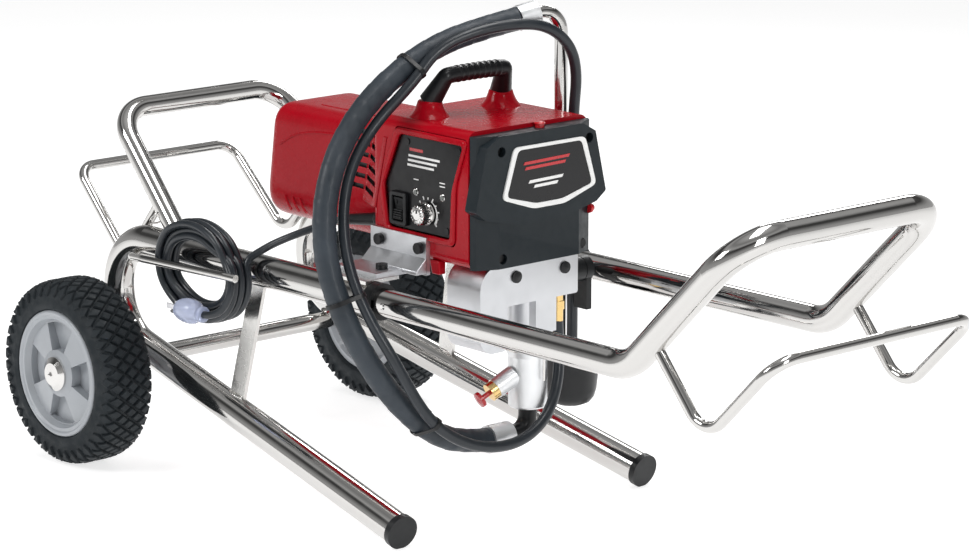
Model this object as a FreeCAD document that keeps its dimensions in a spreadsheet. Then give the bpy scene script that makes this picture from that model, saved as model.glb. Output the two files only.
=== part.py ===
import FreeCAD, Part
import math
import os
import re
from types import SimpleNamespace

# An airless paint sprayer on a two-wheeled cart with a telescoping handle.
# Millimetres. +X is forward, toward the handle, +Y is the pump valve's side and +Z is up.
# The origin is on the floor under the middle of the whole object. Every X given to the
# helpers below is measured forward from the axle, and axle_x puts it in this frame.

os.makedirs("parts", exist_ok=True)
doc = FreeCAD.newDocument("paint_sprayer")
V = FreeCAD.Vector

SIZES = {
    "axle_x": -467.6, "axle_radius": 6.35, "axle_half": 278,
    "wheel_radius": 114.3, "wheel_width": 70, "wheel_inner": 206, "rim_radius": 76,
    "hub_radius": 24, "hub_bore": 6.4, "pocket_depth": 14, "pocket_span": 48, "pocket_reach": 63,
    "cap_radius": 21, "cap_dome": 9,
    "tube_radius": 19.05, "tube_wall": 1.6, "rail_y": 153, "rail_z": 268, "rail_end": 461,
    "bend_back": -31, "bend_low": 148, "bend_radius": 66,
    "foot_x": 552, "foot_y": 191, "foot_z": 19.2, "foot_radius": 20.3, "foot_length": 8,
    "cross_radius": 11, "cross_half": 172,
    "strut_width": 25, "strut_thick": 5,
    "hoop_radius": 12.7, "hoop_y": 138, "hoop_top_y": 130, "hoop_top_x": -62, "hoop_top_z": 415,
    "hook_radius": 6.35, "plate_back": 384, "plate_thick": 4, "plate_length": 76, "plate_width": 50,
    "handle_radius": 15.875, "handle_wall": 1.6, "handle_in": 401, "handle_low_x": 879,
    "handle_top_x": 1039, "handle_top_z": 428, "handle_bend": 55,
    "bushing_bore": 15.95, "bushing_flange": 21.5, "bushing_thick": 14,
    "button_radius": 4, "button_out": 1.3, "button_x": 492,
    "drive_y": 4, "motor_z": 384, "case_half": 92, "case_back": 378, "case_front": 548,
    "case_low": 307, "case_top": 466, "case_wall": 5,
    "shroud_back": 140, "shroud_half": 66, "shroud_low": 303, "shroud_top": 447,
    "can_radius": 54, "armature_radius": 44, "shaft_radius": 6,
    "gear_y": 25, "gear_drop": 34.63, "pinion_pitch": 9, "gear_pitch": 31.5, "gear_width": 14,
    "pinion_teeth": 12, "gear_teeth": 42, "bearing_radius": 13,
    "crank_radius": 8, "pin_radius": 4,
    "cover_front": 567, "cover_low": 307, "cover_top": 461, "cover_wall": 3.5,
    "panel_y": -86, "panel_back": 80, "panel_deep": 6, "knob_x": 476, "knob_z": 362,
    "knob_radius": 13.5, "knob_length": 16, "light_radius": 2.5, "light_z": 384,
    "grip_x": 457, "grip_top": 514, "grip_half": 45, "grip_radius": 9, "stub_x": 440, "stub_half": 55,
    "stub_rise": 18, "stub_foot": 21,
    "bracket_thick": 6, "bracket_back": 384, "bracket_length": 98, "bracket_rise": 44,
    "bolt_x": 440, "bolt_y": 125, "bolt_bore": 4.3, "bolt_head": 6, "side_bolt_z": 322,
    "block_back": 498, "block_front": 555, "block_step": 258, "block_low": 212,
    "pump_x": 525, "pump_y": 25, "rod_radius": 6, "piston_radius": 13,
    "cup_low": 125, "clip_radius": 1.5,
    "elbow_radius": 11, "elbow_z": 95,
    "valve_x": 520, "valve_y": 76, "valve_z": 275, "valve_radius": 15, "valve_length": 34,
    "lever_y": 111, "lever_width": 22, "lever_thick": 8, "lever_drop": 48,
    "outlet_x": 540, "outlet_z": 236, "outlet_radius": 6, "outlet_deep": 18,
    "return_x": 538, "return_y": 60, "return_low": 224,
    "siphon_radius": 8, "suction_radius": 14, "return_radius": 6.5,
    "siphon_x": 482, "siphon_y": 116, "cup_x": 494, "cup_y": 122, "drip_radius": 36,
    "drip_low": 104, "drip_height": 69,
    "cord_radius": 4.5, "coil_x": 190, "coil_z": 263, "coil_half_x": 88, "coil_half_z": 63,
    "coil_band": 32, "coil_in": -176, "coil_out": -208, "plug_x": 186, "plug_deep": 30,
}

sheet = doc.addObject("Spreadsheet::Sheet", "Sizes")
for row, (alias, amount) in enumerate(SIZES.items(), start=1):
    sheet.set(f"A{row}", alias)
    sheet.set(f"B{row}", str(amount))
    sheet.setAlias(f"B{row}", alias)
doc.recompute()
size = SimpleNamespace(**{alias: float(sheet.get(alias)) for alias in SIZES})

NODES = {}
AXES = {
    "X": FreeCAD.Rotation(V(0, 1, 0), 90),
    "Y": FreeCAD.Rotation(V(1, 0, 0), -90),
    "-Y": FreeCAD.Rotation(V(1, 0, 0), 90),
    "Z": FreeCAD.Rotation(),
}


def formula(text):
    """Turns sums of sheet names into an expression on the sheet's cells."""
    def cell(word):
        return "Sizes." + word.group(0) if word.group(0) in SIZES else word.group(0)
    return re.sub(r"[a-z][a-z_]*", cell, str(text))


def put(thing, spot, rotation=FreeCAD.Rotation()):
    """Places an object; X in spot is measured from the axle."""
    thing.Placement = FreeCAD.Placement(V(), rotation)
    for letter, text in zip("xyz", spot):
        shift = "axle_x + " if letter == "x" else ""
        thing.setExpression(f"Placement.Base.{letter}", formula(f"{shift}{text}"))
    return thing


def keep(name, thing):
    """Makes an object one of the sub-parts that are written out."""
    thing.Label = name
    NODES[name] = thing
    return thing


def block(name, low, extent):
    box = doc.addObject("Part::Box", name)
    for side, text in zip(("Length", "Width", "Height"), extent):
        box.setExpression(side, formula(text))
    return put(box, low)


def rod(name, axis, start, radius, length):
    cylinder = doc.addObject("Part::Cylinder", name)
    cylinder.setExpression("Radius", formula(radius))
    cylinder.setExpression("Height", formula(length))
    rotation = AXES[axis] if isinstance(axis, str) else FreeCAD.Rotation(V(0, 0, 1), axis)
    return put(cylinder, start, rotation)


def cut(name, base, *tools):
    result = doc.addObject("Part::Cut", name)
    result.Base = base
    result.Tool = tools[0] if len(tools) == 1 else fuse(name + "_tools", *tools)
    return result


def fuse(name, *pieces):
    result = doc.addObject("Part::MultiFuse", name)
    result.Shapes = list(pieces)
    return result


def ring(name, axis, start, outer, inner, length):
    return cut(name, rod(name + "_out", axis, start, outer, length),
               rod(name + "_in", axis, start, inner, length))


def group(name, *pieces):
    """Separate solids that share one node."""
    result = doc.addObject("Part::Compound", name)
    result.Links = list(pieces)
    return keep(name, result)


def shaped(name, shape):
    """A sub-part whose shape is swept or turned here, in distances from the axle."""
    feature = doc.addObject("Part::Feature", name)
    feature.Shape = shape
    feature.Placement = FreeCAD.Placement(V(size.axle_x, 0, 0), FreeCAD.Rotation()) * shape.Placement
    return feature


def rounded(points, radii, closed=False):
    """Straight edges through points, with a tangent arc at each corner."""
    points = [V(*point) for point in points]
    count = len(points)
    corners = range(count) if closed else range(1, count - 1)
    if not hasattr(radii, "__len__"):
        radii = [radii] * count
    joins = {}
    for i in corners:
        here, last, following = points[i], points[i - 1], points[(i + 1) % count]
        back = (last - here).normalize()
        ahead = (following - here).normalize()
        half_turn = (math.pi - back.getAngle(ahead)) / 2
        reach = radii[i] * math.tan(half_turn)
        inward = (back + ahead).normalize()
        middle = here + inward * (radii[i] / math.cos(half_turn) - radii[i])
        joins[i] = (here + back * reach, middle, here + ahead * reach)
    curves = []
    ends = [joins.get(i, (points[i],) * 3) for i in range(count)]
    for i in range(count):
        if i in joins and radii[i] > 0:
            curves.append(Part.Arc(*joins[i]))
        if closed or i < count - 1:
            start, end = ends[i][2], ends[(i + 1) % count][0]
            if (end - start).Length > 1e-6:
                curves.append(Part.LineSegment(start, end))
    return curves


def sweep(curves, radius):
    wire = Part.Wire([curve.toShape() for curve in curves])
    start = wire.Edges[0].valueAt(wire.Edges[0].FirstParameter)
    heading = wire.Edges[0].tangentAt(wire.Edges[0].FirstParameter)
    circle = Part.Wire([Part.makeCircle(radius, start, heading)])
    return wire.makePipeShell([circle], True, False)


def bent_tube(points, bend, radius, wall=0):
    curves = rounded(points, bend)
    outside = sweep(curves, radius)
    return outside.cut(sweep(curves, radius - wall)) if wall else outside


def sketch_on(body, plane, curves, offset=0):
    sketch = body.newObject("Sketcher::SketchObject", body.Name + "_sketch")
    support = [part for part in body.Origin.OriginFeatures if part.Role == plane][0]
    sketch.AttachmentSupport = (support, [""])
    sketch.MapMode = "FlatFace"
    sketch.AttachmentOffset = FreeCAD.Placement(V(0, 0, offset), FreeCAD.Rotation())
    sketch.addGeometry(curves, False)
    return sketch


def padded(name, plane, outline, radii, offset, depth):
    """A body padded from an outline; XZ outlines grow toward -Y, YZ toward +X, XY toward +Z."""
    body = doc.addObject("PartDesign::Body", name)
    curves = rounded([(u, v, 0) for u, v in outline], radii, closed=True)
    sketch = sketch_on(body, plane, curves, offset)
    pad = body.newObject("PartDesign::Pad", name + "_pad")
    pad.Profile = sketch
    pad.setExpression("Length", formula(depth))
    return put(body, (0, 0, 0))


def turned(name, axis, spot, profile, radii=0):
    """A body turned about an axis; the profile is (radius, distance along the axis)."""
    body = doc.addObject("PartDesign::Body", name)
    curves = rounded([(u, v, 0) for u, v in profile], radii, closed=True)
    sketch = sketch_on(body, "XZ_Plane", curves)
    revolution = body.newObject("PartDesign::Revolution", name + "_turn")
    revolution.Profile = sketch
    revolution.ReferenceAxis = (sketch, ["V_Axis"])
    revolution.Angle = 360
    return put(body, spot, AXES[axis] if isinstance(axis, str) else axis)


def toothed(name, axis_spot, pitch, teeth, turn, width):
    """A spur gear about X with straight-flanked teeth and free backlash."""
    points = []
    for tooth in range(teeth):
        middle = turn + tooth * 2 * math.pi / teeth
        for share, radius in ((-0.27, pitch - 2), (-0.13, pitch + 1.2),
                              (0.13, pitch + 1.2), (0.27, pitch - 2)):
            angle = middle + share * 2 * math.pi / teeth
            points.append((radius * math.cos(angle), radius * math.sin(angle), 0))
    gear = doc.addObject("PartDesign::Body", name)
    sketch = sketch_on(gear, "YZ_Plane", rounded(points, 0, closed=True))
    pad = gear.newObject("PartDesign::Pad", name + "_pad")
    pad.Profile = sketch
    pad.setExpression("Length", formula(width))
    return put(gear, axis_spot)


# ---------------------------------------------------------------- cart frame
def side_route(side):
    return [(size.rail_end, side * size.rail_y, size.rail_z),
            (size.bend_back, side * size.rail_y, size.rail_z),
            (size.bend_back, side * size.rail_y, size.bend_low),
            (size.foot_x - 4, side * size.foot_y, size.foot_z + 0.9)]


envelopes = {}
for side, hand in ((-1, "left"), (1, "right")):
    route = side_route(side)
    keep(f"side_tube_{hand}",
         shaped(f"side_tube_{hand}", bent_tube(route, size.bend_radius, size.tube_radius, size.tube_wall)))
    envelopes[side] = shaped(f"side_envelope_{hand}",
                             bent_tube(route, size.bend_radius, size.tube_radius))

cross_blank = ring("cross_blank", "Y", ("0", "-cross_half", "wheel_radius"),
                   "cross_radius", "axle_radius + 0.15", "2 * cross_half")
keep("cross_tube", cut("cross_tube", cross_blank, *envelopes.values()))
keep("axle", rod("axle", "Y", ("0", "-axle_half", "wheel_radius"), "axle_radius", "2 * axle_half"))

feet = []
for side in (-1, 1):
    route = side_route(side)
    end = V(*route[3])
    heading = (end - V(*route[2])).normalize()
    nose = end + heading * 4
    back = nose - heading * size.foot_length
    cap = Part.makeCylinder(size.foot_radius, size.foot_length, back, heading)
    cap = cap.cut(Part.makeCylinder(size.tube_radius + 0.05, size.foot_length - 4, back, heading))
    cap = cap.common(Part.makeBox(200, 800, 200, V(size.foot_x - 100, -400, 0)))
    feet.append(shaped(f"foot_cap_{side + 2}", cap))
group("foot_caps", *feet)

STRUT_FOOT = (220, 166, 104)
STRUT_TOP = (252, 156, 254)
struts = []
for side in (-1, 1):
    low = V(STRUT_FOOT[0], side * STRUT_FOOT[1], STRUT_FOOT[2])
    high = V(STRUT_TOP[0], side * STRUT_TOP[1], STRUT_TOP[2])
    along = high - low
    bar = Part.makeBox(size.strut_width, size.strut_thick, along.Length,
                       V(-size.strut_width / 2, -size.strut_thick / 2, 0))
    bar.Placement = FreeCAD.Placement(low, FreeCAD.Rotation(V(0, 0, 1), along))
    struts.append(cut(f"strut_{side + 2}", shaped(f"strut_bar_{side + 2}", bar), envelopes[side]))
    plate = block(f"rail_plate_{side + 2}",
                  ("plate_back", f"{side} * 141 - plate_width / 2", "rail_z + tube_radius"),
                  ("plate_length", "plate_width", "plate_thick"))
    hole = rod(f"rail_plate_hole_{side + 2}", "Z", ("bolt_x", f"{side} * bolt_y", "rail_z"),
               "bolt_bore", "40")
    struts.append(cut(f"rail_plate_drilled_{side + 2}", plate, hole))
group("frame_plates", *struts)

hoop_route = [(66, -size.hoop_y, 287), (size.hoop_top_x, -size.hoop_top_y, size.hoop_top_z),
              (size.hoop_top_x, size.hoop_top_y, size.hoop_top_z), (66, size.hoop_y, 287)]
hoop = shaped("hoop_tube", bent_tube(hoop_route, 48, size.hoop_radius, 1.5))
hook_side = [(26.9, -133, 309.3), (-50, -126, 226), (-156, -122, 328)]
hook_route = hook_side + [(x, -y, z) for x, y, z in reversed(hook_side)]
rear_hook = shaped("rear_hook", bent_tube(hook_route, 24, size.hook_radius))
keep("rear_hoop", fuse("rear_hoop", cut("hoop_coped", hoop, *envelopes.values()), rear_hook))

cord_hook_route = [(20, -166, 252), (68, -206, 262), (102, -215, 266), (262, -215, 271.5),
                   (280, -213, 271)]
cord_hook = shaped("cord_hook_rod", bent_tube(cord_hook_route, 22, 4.75))
keep("cord_hook", cut("cord_hook", cord_hook, envelopes[-1]))

SLEEVE = 46
bushings = []
for side in (-1, 1):
    sleeve = rod(f"bushing_sleeve_{side + 2}", "X", (f"rail_end - {SLEEVE}", f"{side} * rail_y", "rail_z"),
                 "tube_radius - tube_wall - 0.05", f"{SLEEVE}")
    flange = rod(f"bushing_flange_{side + 2}", "X", ("rail_end", f"{side} * rail_y", "rail_z"),
                 "bushing_flange", "bushing_thick")
    bore = rod(f"bushing_bore_{side + 2}", "X", ("rail_end - 50", f"{side} * rail_y", "rail_z"),
               "bushing_bore", "80")
    keyway = block(f"bushing_keyway_{side + 2}",
                   ("rail_end - 50", f"{side} * (rail_y + 9) - 9", "rail_z - 5"), ("80", "18", "10"))
    bushings.append(cut(f"rail_bushing_{side + 2}",
                        fuse(f"bushing_blank_{side + 2}", sleeve, flange), bore, keyway))
group("rail_bushings", *bushings)

# ------------------------------------------------------------------- handle
half = [(size.handle_in, -size.rail_y, size.rail_z), (size.handle_low_x, -size.rail_y, size.rail_z),
        (size.handle_top_x, -size.rail_y, size.handle_top_z)]
handle_route = half + [(x, -y, z) for x, y, z in reversed(half)]
tube = shaped("handle_bent", bent_tube(handle_route, size.handle_bend, size.handle_radius,
                                       size.handle_wall))
side_hook = [(923.6, -size.rail_y, 291.6), (992, -size.rail_y, 211), (1091, -size.rail_y, 312)]
hose_hook = side_hook + [(x, -y, z) for x, y, z in reversed(side_hook)]
holes = [rod(f"button_hole_{side + 2}", "Y", ("button_x", f"{side} * (rail_y + 14) - 8", "rail_z"),
             "button_radius + 0.05", "16") for side in (-1, 1)]
handle_blank = fuse("handle_blank", tube, shaped("handle_hook", bent_tube(hose_hook, 30, size.hook_radius)))
keep("handle", cut("handle", handle_blank, *holes))
for side, hand, axis in ((-1, "left", "-Y"), (1, "right", "Y")):
    keep(f"snap_button_{hand}", turned(
        f"snap_button_{hand}", axis,
        ("button_x", f"{side} * rail_y", "rail_z"),
        [(0, 6), (size.button_radius, 6), (size.button_radius, size.handle_radius),
         (size.button_radius - 1.5, size.handle_radius + size.button_out),
         (0, size.handle_radius + size.button_out)]))

# ------------------------------------------------------------------- wheels
for side, hand, axis in ((-1, "left", "-Y"), (1, "right", "Y")):
    inner, width = size.wheel_inner, size.wheel_width
    outer = inner + width
    spot = ("0", "0", "wheel_radius")
    bead, shoulder = size.rim_radius + 12, size.wheel_radius - 9
    tyre = [(size.rim_radius, inner + 6), (bead, inner), (shoulder, inner),
            (size.wheel_radius, inner + 10), (size.wheel_radius, outer - 10),
            (shoulder, outer), (bead, outer), (size.rim_radius, outer - 6)]
    keep(f"tyre_{hand}", turned(f"tyre_{hand}", axis, spot, tyre, [0, 8, 9, 9, 9, 9, 8, 0]))
    rim = [(size.hub_bore, inner - 4), (size.hub_radius, inner - 4), (size.hub_radius, inner + 20),
           (60, inner + 20), (68, inner + 4), (size.rim_radius, inner + 6), (size.rim_radius, outer - 6),
           (72, outer - 3), (68, outer - 3), (64, outer - 10), (30, outer - 6),
           (size.hub_radius, outer - 3), (size.hub_bore, outer - 3)]
    rim_blank = turned(f"rim_blank_{hand}", axis, spot, rim)
    pockets = []
    for quarter in range(4):
        sector = doc.addObject("Part::Cylinder", f"pocket_{hand}_{quarter}")
        sector.setExpression("Radius", formula("pocket_reach"))
        sector.setExpression("Height", formula("pocket_depth + 12"))
        sector.setExpression("Angle", formula("pocket_span"))
        rotation = AXES[axis] * FreeCAD.Rotation(V(0, 0, 1), 90 * quarter - size.pocket_span / 2)
        put(sector, ("0", f"{side} * (wheel_inner + wheel_width - pocket_depth - 5)", "wheel_radius"),
            rotation)
        pockets.append(sector)
    core = rod(f"pocket_core_{hand}", "Y", ("0", "-300", "wheel_radius"), "hub_radius + 5", "600")
    keep(f"rim_{hand}", cut(f"rim_{hand}", rim_blank, cut(f"pockets_{hand}",
                                                          fuse(f"sectors_{hand}", *pockets), core)))

caps = []
for side, axis in ((-1, "-Y"), (1, "Y")):
    face = size.wheel_inner + size.wheel_width - 2.6
    caps.append(turned(f"hub_cap_{side + 2}", axis, ("0", "0", "wheel_radius"),
                       [(size.axle_radius, face), (size.axle_radius, size.axle_half),
                        (0, size.axle_half), (0, face + size.cap_dome),
                        (size.cap_radius - 7, face + size.cap_dome - 1.5),
                        (size.cap_radius, face + 3), (size.cap_radius, face)]))
group("hub_caps", *caps)

# --------------------------------------------------------------- drive casing
case = block("case_blank", ("case_back", "drive_y - case_half", "case_low"),
             ("case_front - case_back", "2 * case_half", "case_top - case_low"))
case_soft = doc.addObject("Part::Fillet", "case_rounded")
case_soft.Base = case
doc.recompute()
long_edges = [number for number, edge in enumerate(case.Shape.Edges, start=1)
              if abs(edge.tangentAt(0).x) > 0.9 or edge.CenterOfMass.x < size.axle_x + size.case_back + 1]
case_soft.Edges = [(number, 12, 12) for number in long_edges]
hollow = block("case_hollow", ("case_back + case_wall", "drive_y - case_half + case_wall + 8",
                               "case_low + case_wall"),
               ("case_front - case_back", "2 * (case_half - case_wall) - 16",
                "case_top - case_low - 2 * case_wall"))
bulkhead = block("bulkhead", ("446", "drive_y - case_half + 10", "case_low + 2"),
                 ("7", "2 * case_half - 20", "case_top - case_low - 4"))
stubs = []
for number, sign in ((1, "-1"), (2, "1")):
    stub = doc.addObject("Part::Cone", f"grip_stub_{number}")
    stub.setExpression("Radius1", formula("stub_foot"))
    stub.setExpression("Radius2", formula("grip_radius + 4"))
    stub.setExpression("Height", formula("stub_rise + 6"))
    stubs.append(put(stub, ("stub_x", f"drive_y + {sign} * stub_half", "case_top - 6")))
motor_hole = rod("motor_hole", "X", ("case_back - 5", "drive_y", "motor_z"), "can_radius + 0.2", "60")
shaft_hole = rod("shaft_hole", "X", ("440", "drive_y", "motor_z"), "12", "20")
gear_hole = rod("gear_hole", "X", ("440", "gear_y", "motor_z - gear_drop"), "bearing_radius", "20")
rod_hole = block("rod_hole", ("502", "pump_y - 27", "case_low - 5"), ("46", "54", "20"))
PANEL = [(432, 448), (540, 448), (520, 393), (517, 339), (413, 339), (404, 388)]


def panel_outline(grow):
    """The control panel's outline, moved out from its middle."""
    return [(x + math.copysign(grow, x - 470), z + math.copysign(grow, z - 393)) for x, z in PANEL]


recess = padded("panel_recess", "XZ_Plane", panel_outline(1.5), 6, size.panel_back, "20")
window = padded("panel_window", "XZ_Plane", panel_outline(-9), 6, size.panel_back - 20, "40")
case_core = cut("case_core", case_soft, hollow)
case_walls = fuse("case_walls", case_core, bulkhead, *stubs)
keep("drive_housing", cut("drive_housing", case_walls, motor_hole, shaft_hole, gear_hole, rod_hole,
                          recess, window))

shroud_points = [(size.drive_y - size.shroud_half, size.shroud_low),
                 (size.drive_y + size.shroud_half, size.shroud_low),
                 (size.drive_y + size.shroud_half, size.shroud_top),
                 (size.drive_y - size.shroud_half, size.shroud_top)]
shroud_solid = padded("shroud_blank", "YZ_Plane", shroud_points, 26, size.shroud_back,
                      "case_back - shroud_back")
inset = [(y + math.copysign(3, size.drive_y - y), z + math.copysign(3, size.motor_z - z))
         for y, z in shroud_points]
shroud_room = padded("shroud_room", "YZ_Plane", inset, 23, size.shroud_back + 3,
                     "case_back - shroud_back")
vents = [block(f"vent_{number}", (f"{366 - 4 * number} - 22", "drive_y - shroud_half - 5",
                                  f"shroud_top - 24 - 12 * {number}"), ("22", "20", "5"))
         for number in range(6)]
rear_vents = [block(f"rear_vent_{number}",
                    ("shroud_back - 5", "drive_y - 30", f"motor_z - 30 + 12 * {number}"),
                    ("20", "60", "5")) for number in range(6)]
keep("motor_shroud", cut("motor_shroud", shroud_solid, shroud_room, *vents, *rear_vents))

can = ring("can_wall", "X", ("198", "drive_y", "motor_z"), "can_radius", "can_radius - 5", "200")
can_end = ring("can_end", "X", ("194", "drive_y", "motor_z"), "can_radius", "12", "4.01")
feet_blocks = [block(f"can_foot_{number}", ("230", f"drive_y - 30 + 40 * {number}", "shroud_low + 3"),
                     ("60", "20", "motor_z - can_radius - shroud_low + 2")) for number in range(2)]
can_bore = rod("can_bore", "X", ("199", "drive_y", "motor_z"), "can_radius - 5", "190")
keep("motor_can", cut("motor_can", fuse("can_blank", can, can_end, *feet_blocks), can_bore))

group("drive_bearings",
      ring("rear_bearing", "X", ("190", "drive_y", "motor_z"), "12", "shaft_radius + 0.05", "8"),
      ring("front_bearing", "X", ("446", "drive_y", "motor_z"), "12", "shaft_radius + 0.05", "7"),
      ring("gear_bearing", "X", ("446", "gear_y", "motor_z - gear_drop"), "bearing_radius", "7.05", "7"))
keep("armature", fuse("armature",
                      rod("armature_core", "X", ("240", "drive_y", "motor_z"), "armature_radius", "110"),
                      rod("armature_shaft", "X", ("186", "drive_y", "motor_z"), "shaft_radius", "282"),
                      rod("commutator", "X", ("358", "drive_y", "motor_z"), "20", "22"),
                      rod("fan_disc", "X", ("214", "drive_y", "motor_z"), "armature_radius - 4", "6")))
pinion = toothed("pinion_ring", ("455", "drive_y", "motor_z"), size.pinion_pitch,
                 round(size.pinion_teeth), 0, "gear_width")
keep("drive_pinion", cut("drive_pinion", pinion,
                         rod("pinion_bore", "X", ("450", "drive_y", "motor_z"), "shaft_radius", "30")))
# The line of centres leans by this angle, and a gap of the gear faces a pinion tooth on it.
mesh_angle = math.atan2(-size.gear_drop, size.gear_y - size.drive_y)
pinion_pitch_angle = 2 * math.pi / size.pinion_teeth
gear_pitch_angle = 2 * math.pi / size.gear_teeth
tooth_lead = (mesh_angle % pinion_pitch_angle) / pinion_pitch_angle
gear_turn = mesh_angle + math.pi + (tooth_lead + 0.5) * gear_pitch_angle
gear_ring = toothed("gear_ring", ("457", "gear_y", "motor_z - gear_drop"), size.gear_pitch,
                    round(size.gear_teeth), gear_turn, "gear_width - 4")
keep("drive_gear", fuse("drive_gear", gear_ring,
                        rod("gear_shaft", "X", ("440", "gear_y", "motor_z - gear_drop"), "7", "20"),
                        rod("crank_disc", "X", ("466", "gear_y", "motor_z - gear_drop"), "18", "30"),
                        rod("crank_pin", "X", ("494", "gear_y + crank_radius", "motor_z - gear_drop"),
                            "pin_radius", "26")))
yoke_frame = block("yoke_frame", ("504", "gear_y - 26", "motor_z - gear_drop - 27"), ("12", "52", "54"))
yoke_window = block("yoke_window", ("500", "gear_y - 20", "motor_z - gear_drop - 21.5"),
                    ("30", "40", "43"))
yoke_foot = rod("yoke_foot", "Z", ("pump_x", "pump_y", "motor_z - gear_drop - 27"), "rod_radius + 3", "5.5")
yoke_arm = block("yoke_arm", ("512", "gear_y - 9", "motor_z - gear_drop - 27"), ("13", "18", "5.5"))
keep("pump_yoke", cut("pump_yoke", fuse("yoke_blank", yoke_frame, yoke_foot, yoke_arm), yoke_window))
keep("piston", fuse("piston",
                    rod("piston_rod", "Z", ("pump_x", "pump_y", "218"), "rod_radius",
                        "motor_z - gear_drop - 27 - 218"),
                    rod("piston_head", "Z", ("pump_x", "pump_y", "220"), "piston_radius - 0.05", "10")))

# ------------------------------------------------------- front cover and trim
middle = size.drive_y
cover_line = [(548, middle - 92), (556, middle - 88), (567, middle - 62), (567, middle + 62),
              (556, middle + 88), (548, middle + 92)]
cover_solid = padded("cover_blank", "XY_Plane", cover_line, 2, size.cover_low, "cover_top - cover_low")
SHIELD = [(-64, 461), (64, 461), (84, 450), (101, 378), (86, 367), (30, 354), (-30, 354),
          (-86, 367), (-101, 378), (-84, 450)]
shield = padded("shield", "YZ_Plane", [(y + middle, z) for y, z in SHIELD], 3, 552, "19")
cover_room = block("cover_room", ("540", "drive_y - 80", "cover_low + cover_wall"),
                   ("cover_front - 552", "160", "cover_top - cover_low - 2 * cover_wall"))
COVER_SCREWS = [(-62, 443), (74, 443), (-56, 318), (72, 318)]
front_screws = []
screw_wells = []
for number, (y, z) in enumerate(COVER_SCREWS):
    screw_wells.append(rod(f"screw_well_{number}", "X", ("559", f"{y} + drive_y", f"{z}"), "6", "20"))
    front_screws.append(rod(f"cover_screw_{number}", "X", ("559", f"{y} + drive_y", f"{z}"), "5", "4"))
button_hole = rod("oiler_hole", "Z", ("556", "14", "cover_top - 12"), "5.6", "20")
keep("front_cover", cut("front_cover", fuse("cover_whole", cover_solid, shield), cover_room,
                        button_hole, *screw_wells))
BADGE = [(-44, 442), (66, 442), (84, 384), (34, 368), (-14, 368), (-62, 384)]
keep("cover_badge", padded("cover_badge", "YZ_Plane", [(y + middle, z) for y, z in BADGE], 4, 571, "2"))
keep("oiler_button", rod("oiler_button", "Z", ("556", "14", "cover_top - 6"), "5.5", "10"))

GRIP_SEAT = 6                       # how far the grip's slanted ends start inside its stubs
grip_leg = [(size.stub_x, size.drive_y - size.stub_half, size.case_top + size.stub_rise - GRIP_SEAT),
            (size.grip_x, size.drive_y - size.grip_half, size.grip_top)]
grip_route = grip_leg + [(x, 2 * size.drive_y - y, z) for x, y, z in reversed(grip_leg)]
grip_bar = shaped("grip_bar", bent_tube(grip_route, 16, size.grip_radius))
keep("carry_grip", cut("carry_grip", grip_bar, *stubs))

# -------------------------------------------------------------- control panel
panel_plate = padded("panel_plate", "XZ_Plane", PANEL, 5, size.panel_back, "panel_deep")
switch_window = block("switch_window", ("418", "panel_y - 10", "346"), ("20", "40", "30"))
knob_hole = rod("knob_hole", "-Y", ("knob_x", "-60", "knob_z"), "3.1", "60")
LIGHTS = (456, 502)
light_holes = [rod(f"light_hole_{number}", "-Y", (f"{x}", "-60", "light_z"), "light_radius + 0.05", "60")
               for number, x in enumerate(LIGHTS)]
PANEL_SCREWS = [(441, 441), (530, 441), (509, 346)]
screw_holes = [rod(f"panel_screw_hole_{number}", "-Y", (f"{x}", "panel_y + 6", f"{z}"), "4.1", "20")
               for number, (x, z) in enumerate(PANEL_SCREWS)]
keep("control_panel", cut("control_panel", panel_plate, switch_window, knob_hole, *light_holes,
                          *screw_holes))
group("panel_screws", *[rod(f"panel_screw_{number}", "-Y", (f"{x}", "panel_y + 6", f"{z}"), "4", "7")
                        for number, (x, z) in enumerate(PANEL_SCREWS)])
group("panel_lights", *[rod(f"panel_light_{number}", "-Y", (f"{x}", "panel_y + 6", "light_z"),
                            "light_radius", "8") for number, x in enumerate(LIGHTS)])
rocker = [(-84.5, 348.5), (-84.5, 373.5), (-89.5, 374), (-86.5, 361), (-91, 347.5)]
keep("switch_rocker", padded("switch_rocker", "YZ_Plane", rocker, [0, 0, 1, 2, 1], 420, "16"))
knob_body = rod("knob_body", "-Y", ("knob_x", "panel_y - 1", "knob_z"), "knob_radius", "knob_length")
knob_stem = rod("knob_stem", "-Y", ("knob_x", "-72", "knob_z"), "3", "18")
knob_mark = block("knob_mark", ("knob_x - 1", "panel_y - knob_length - 2", "knob_z + 3"), ("2", "1.5", "9"))
keep("pressure_knob", fuse("pressure_knob", knob_body, knob_stem, knob_mark))
keep("control_board", block("control_board", ("420", "-75", "330"), ("22", "2", "100")))

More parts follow.
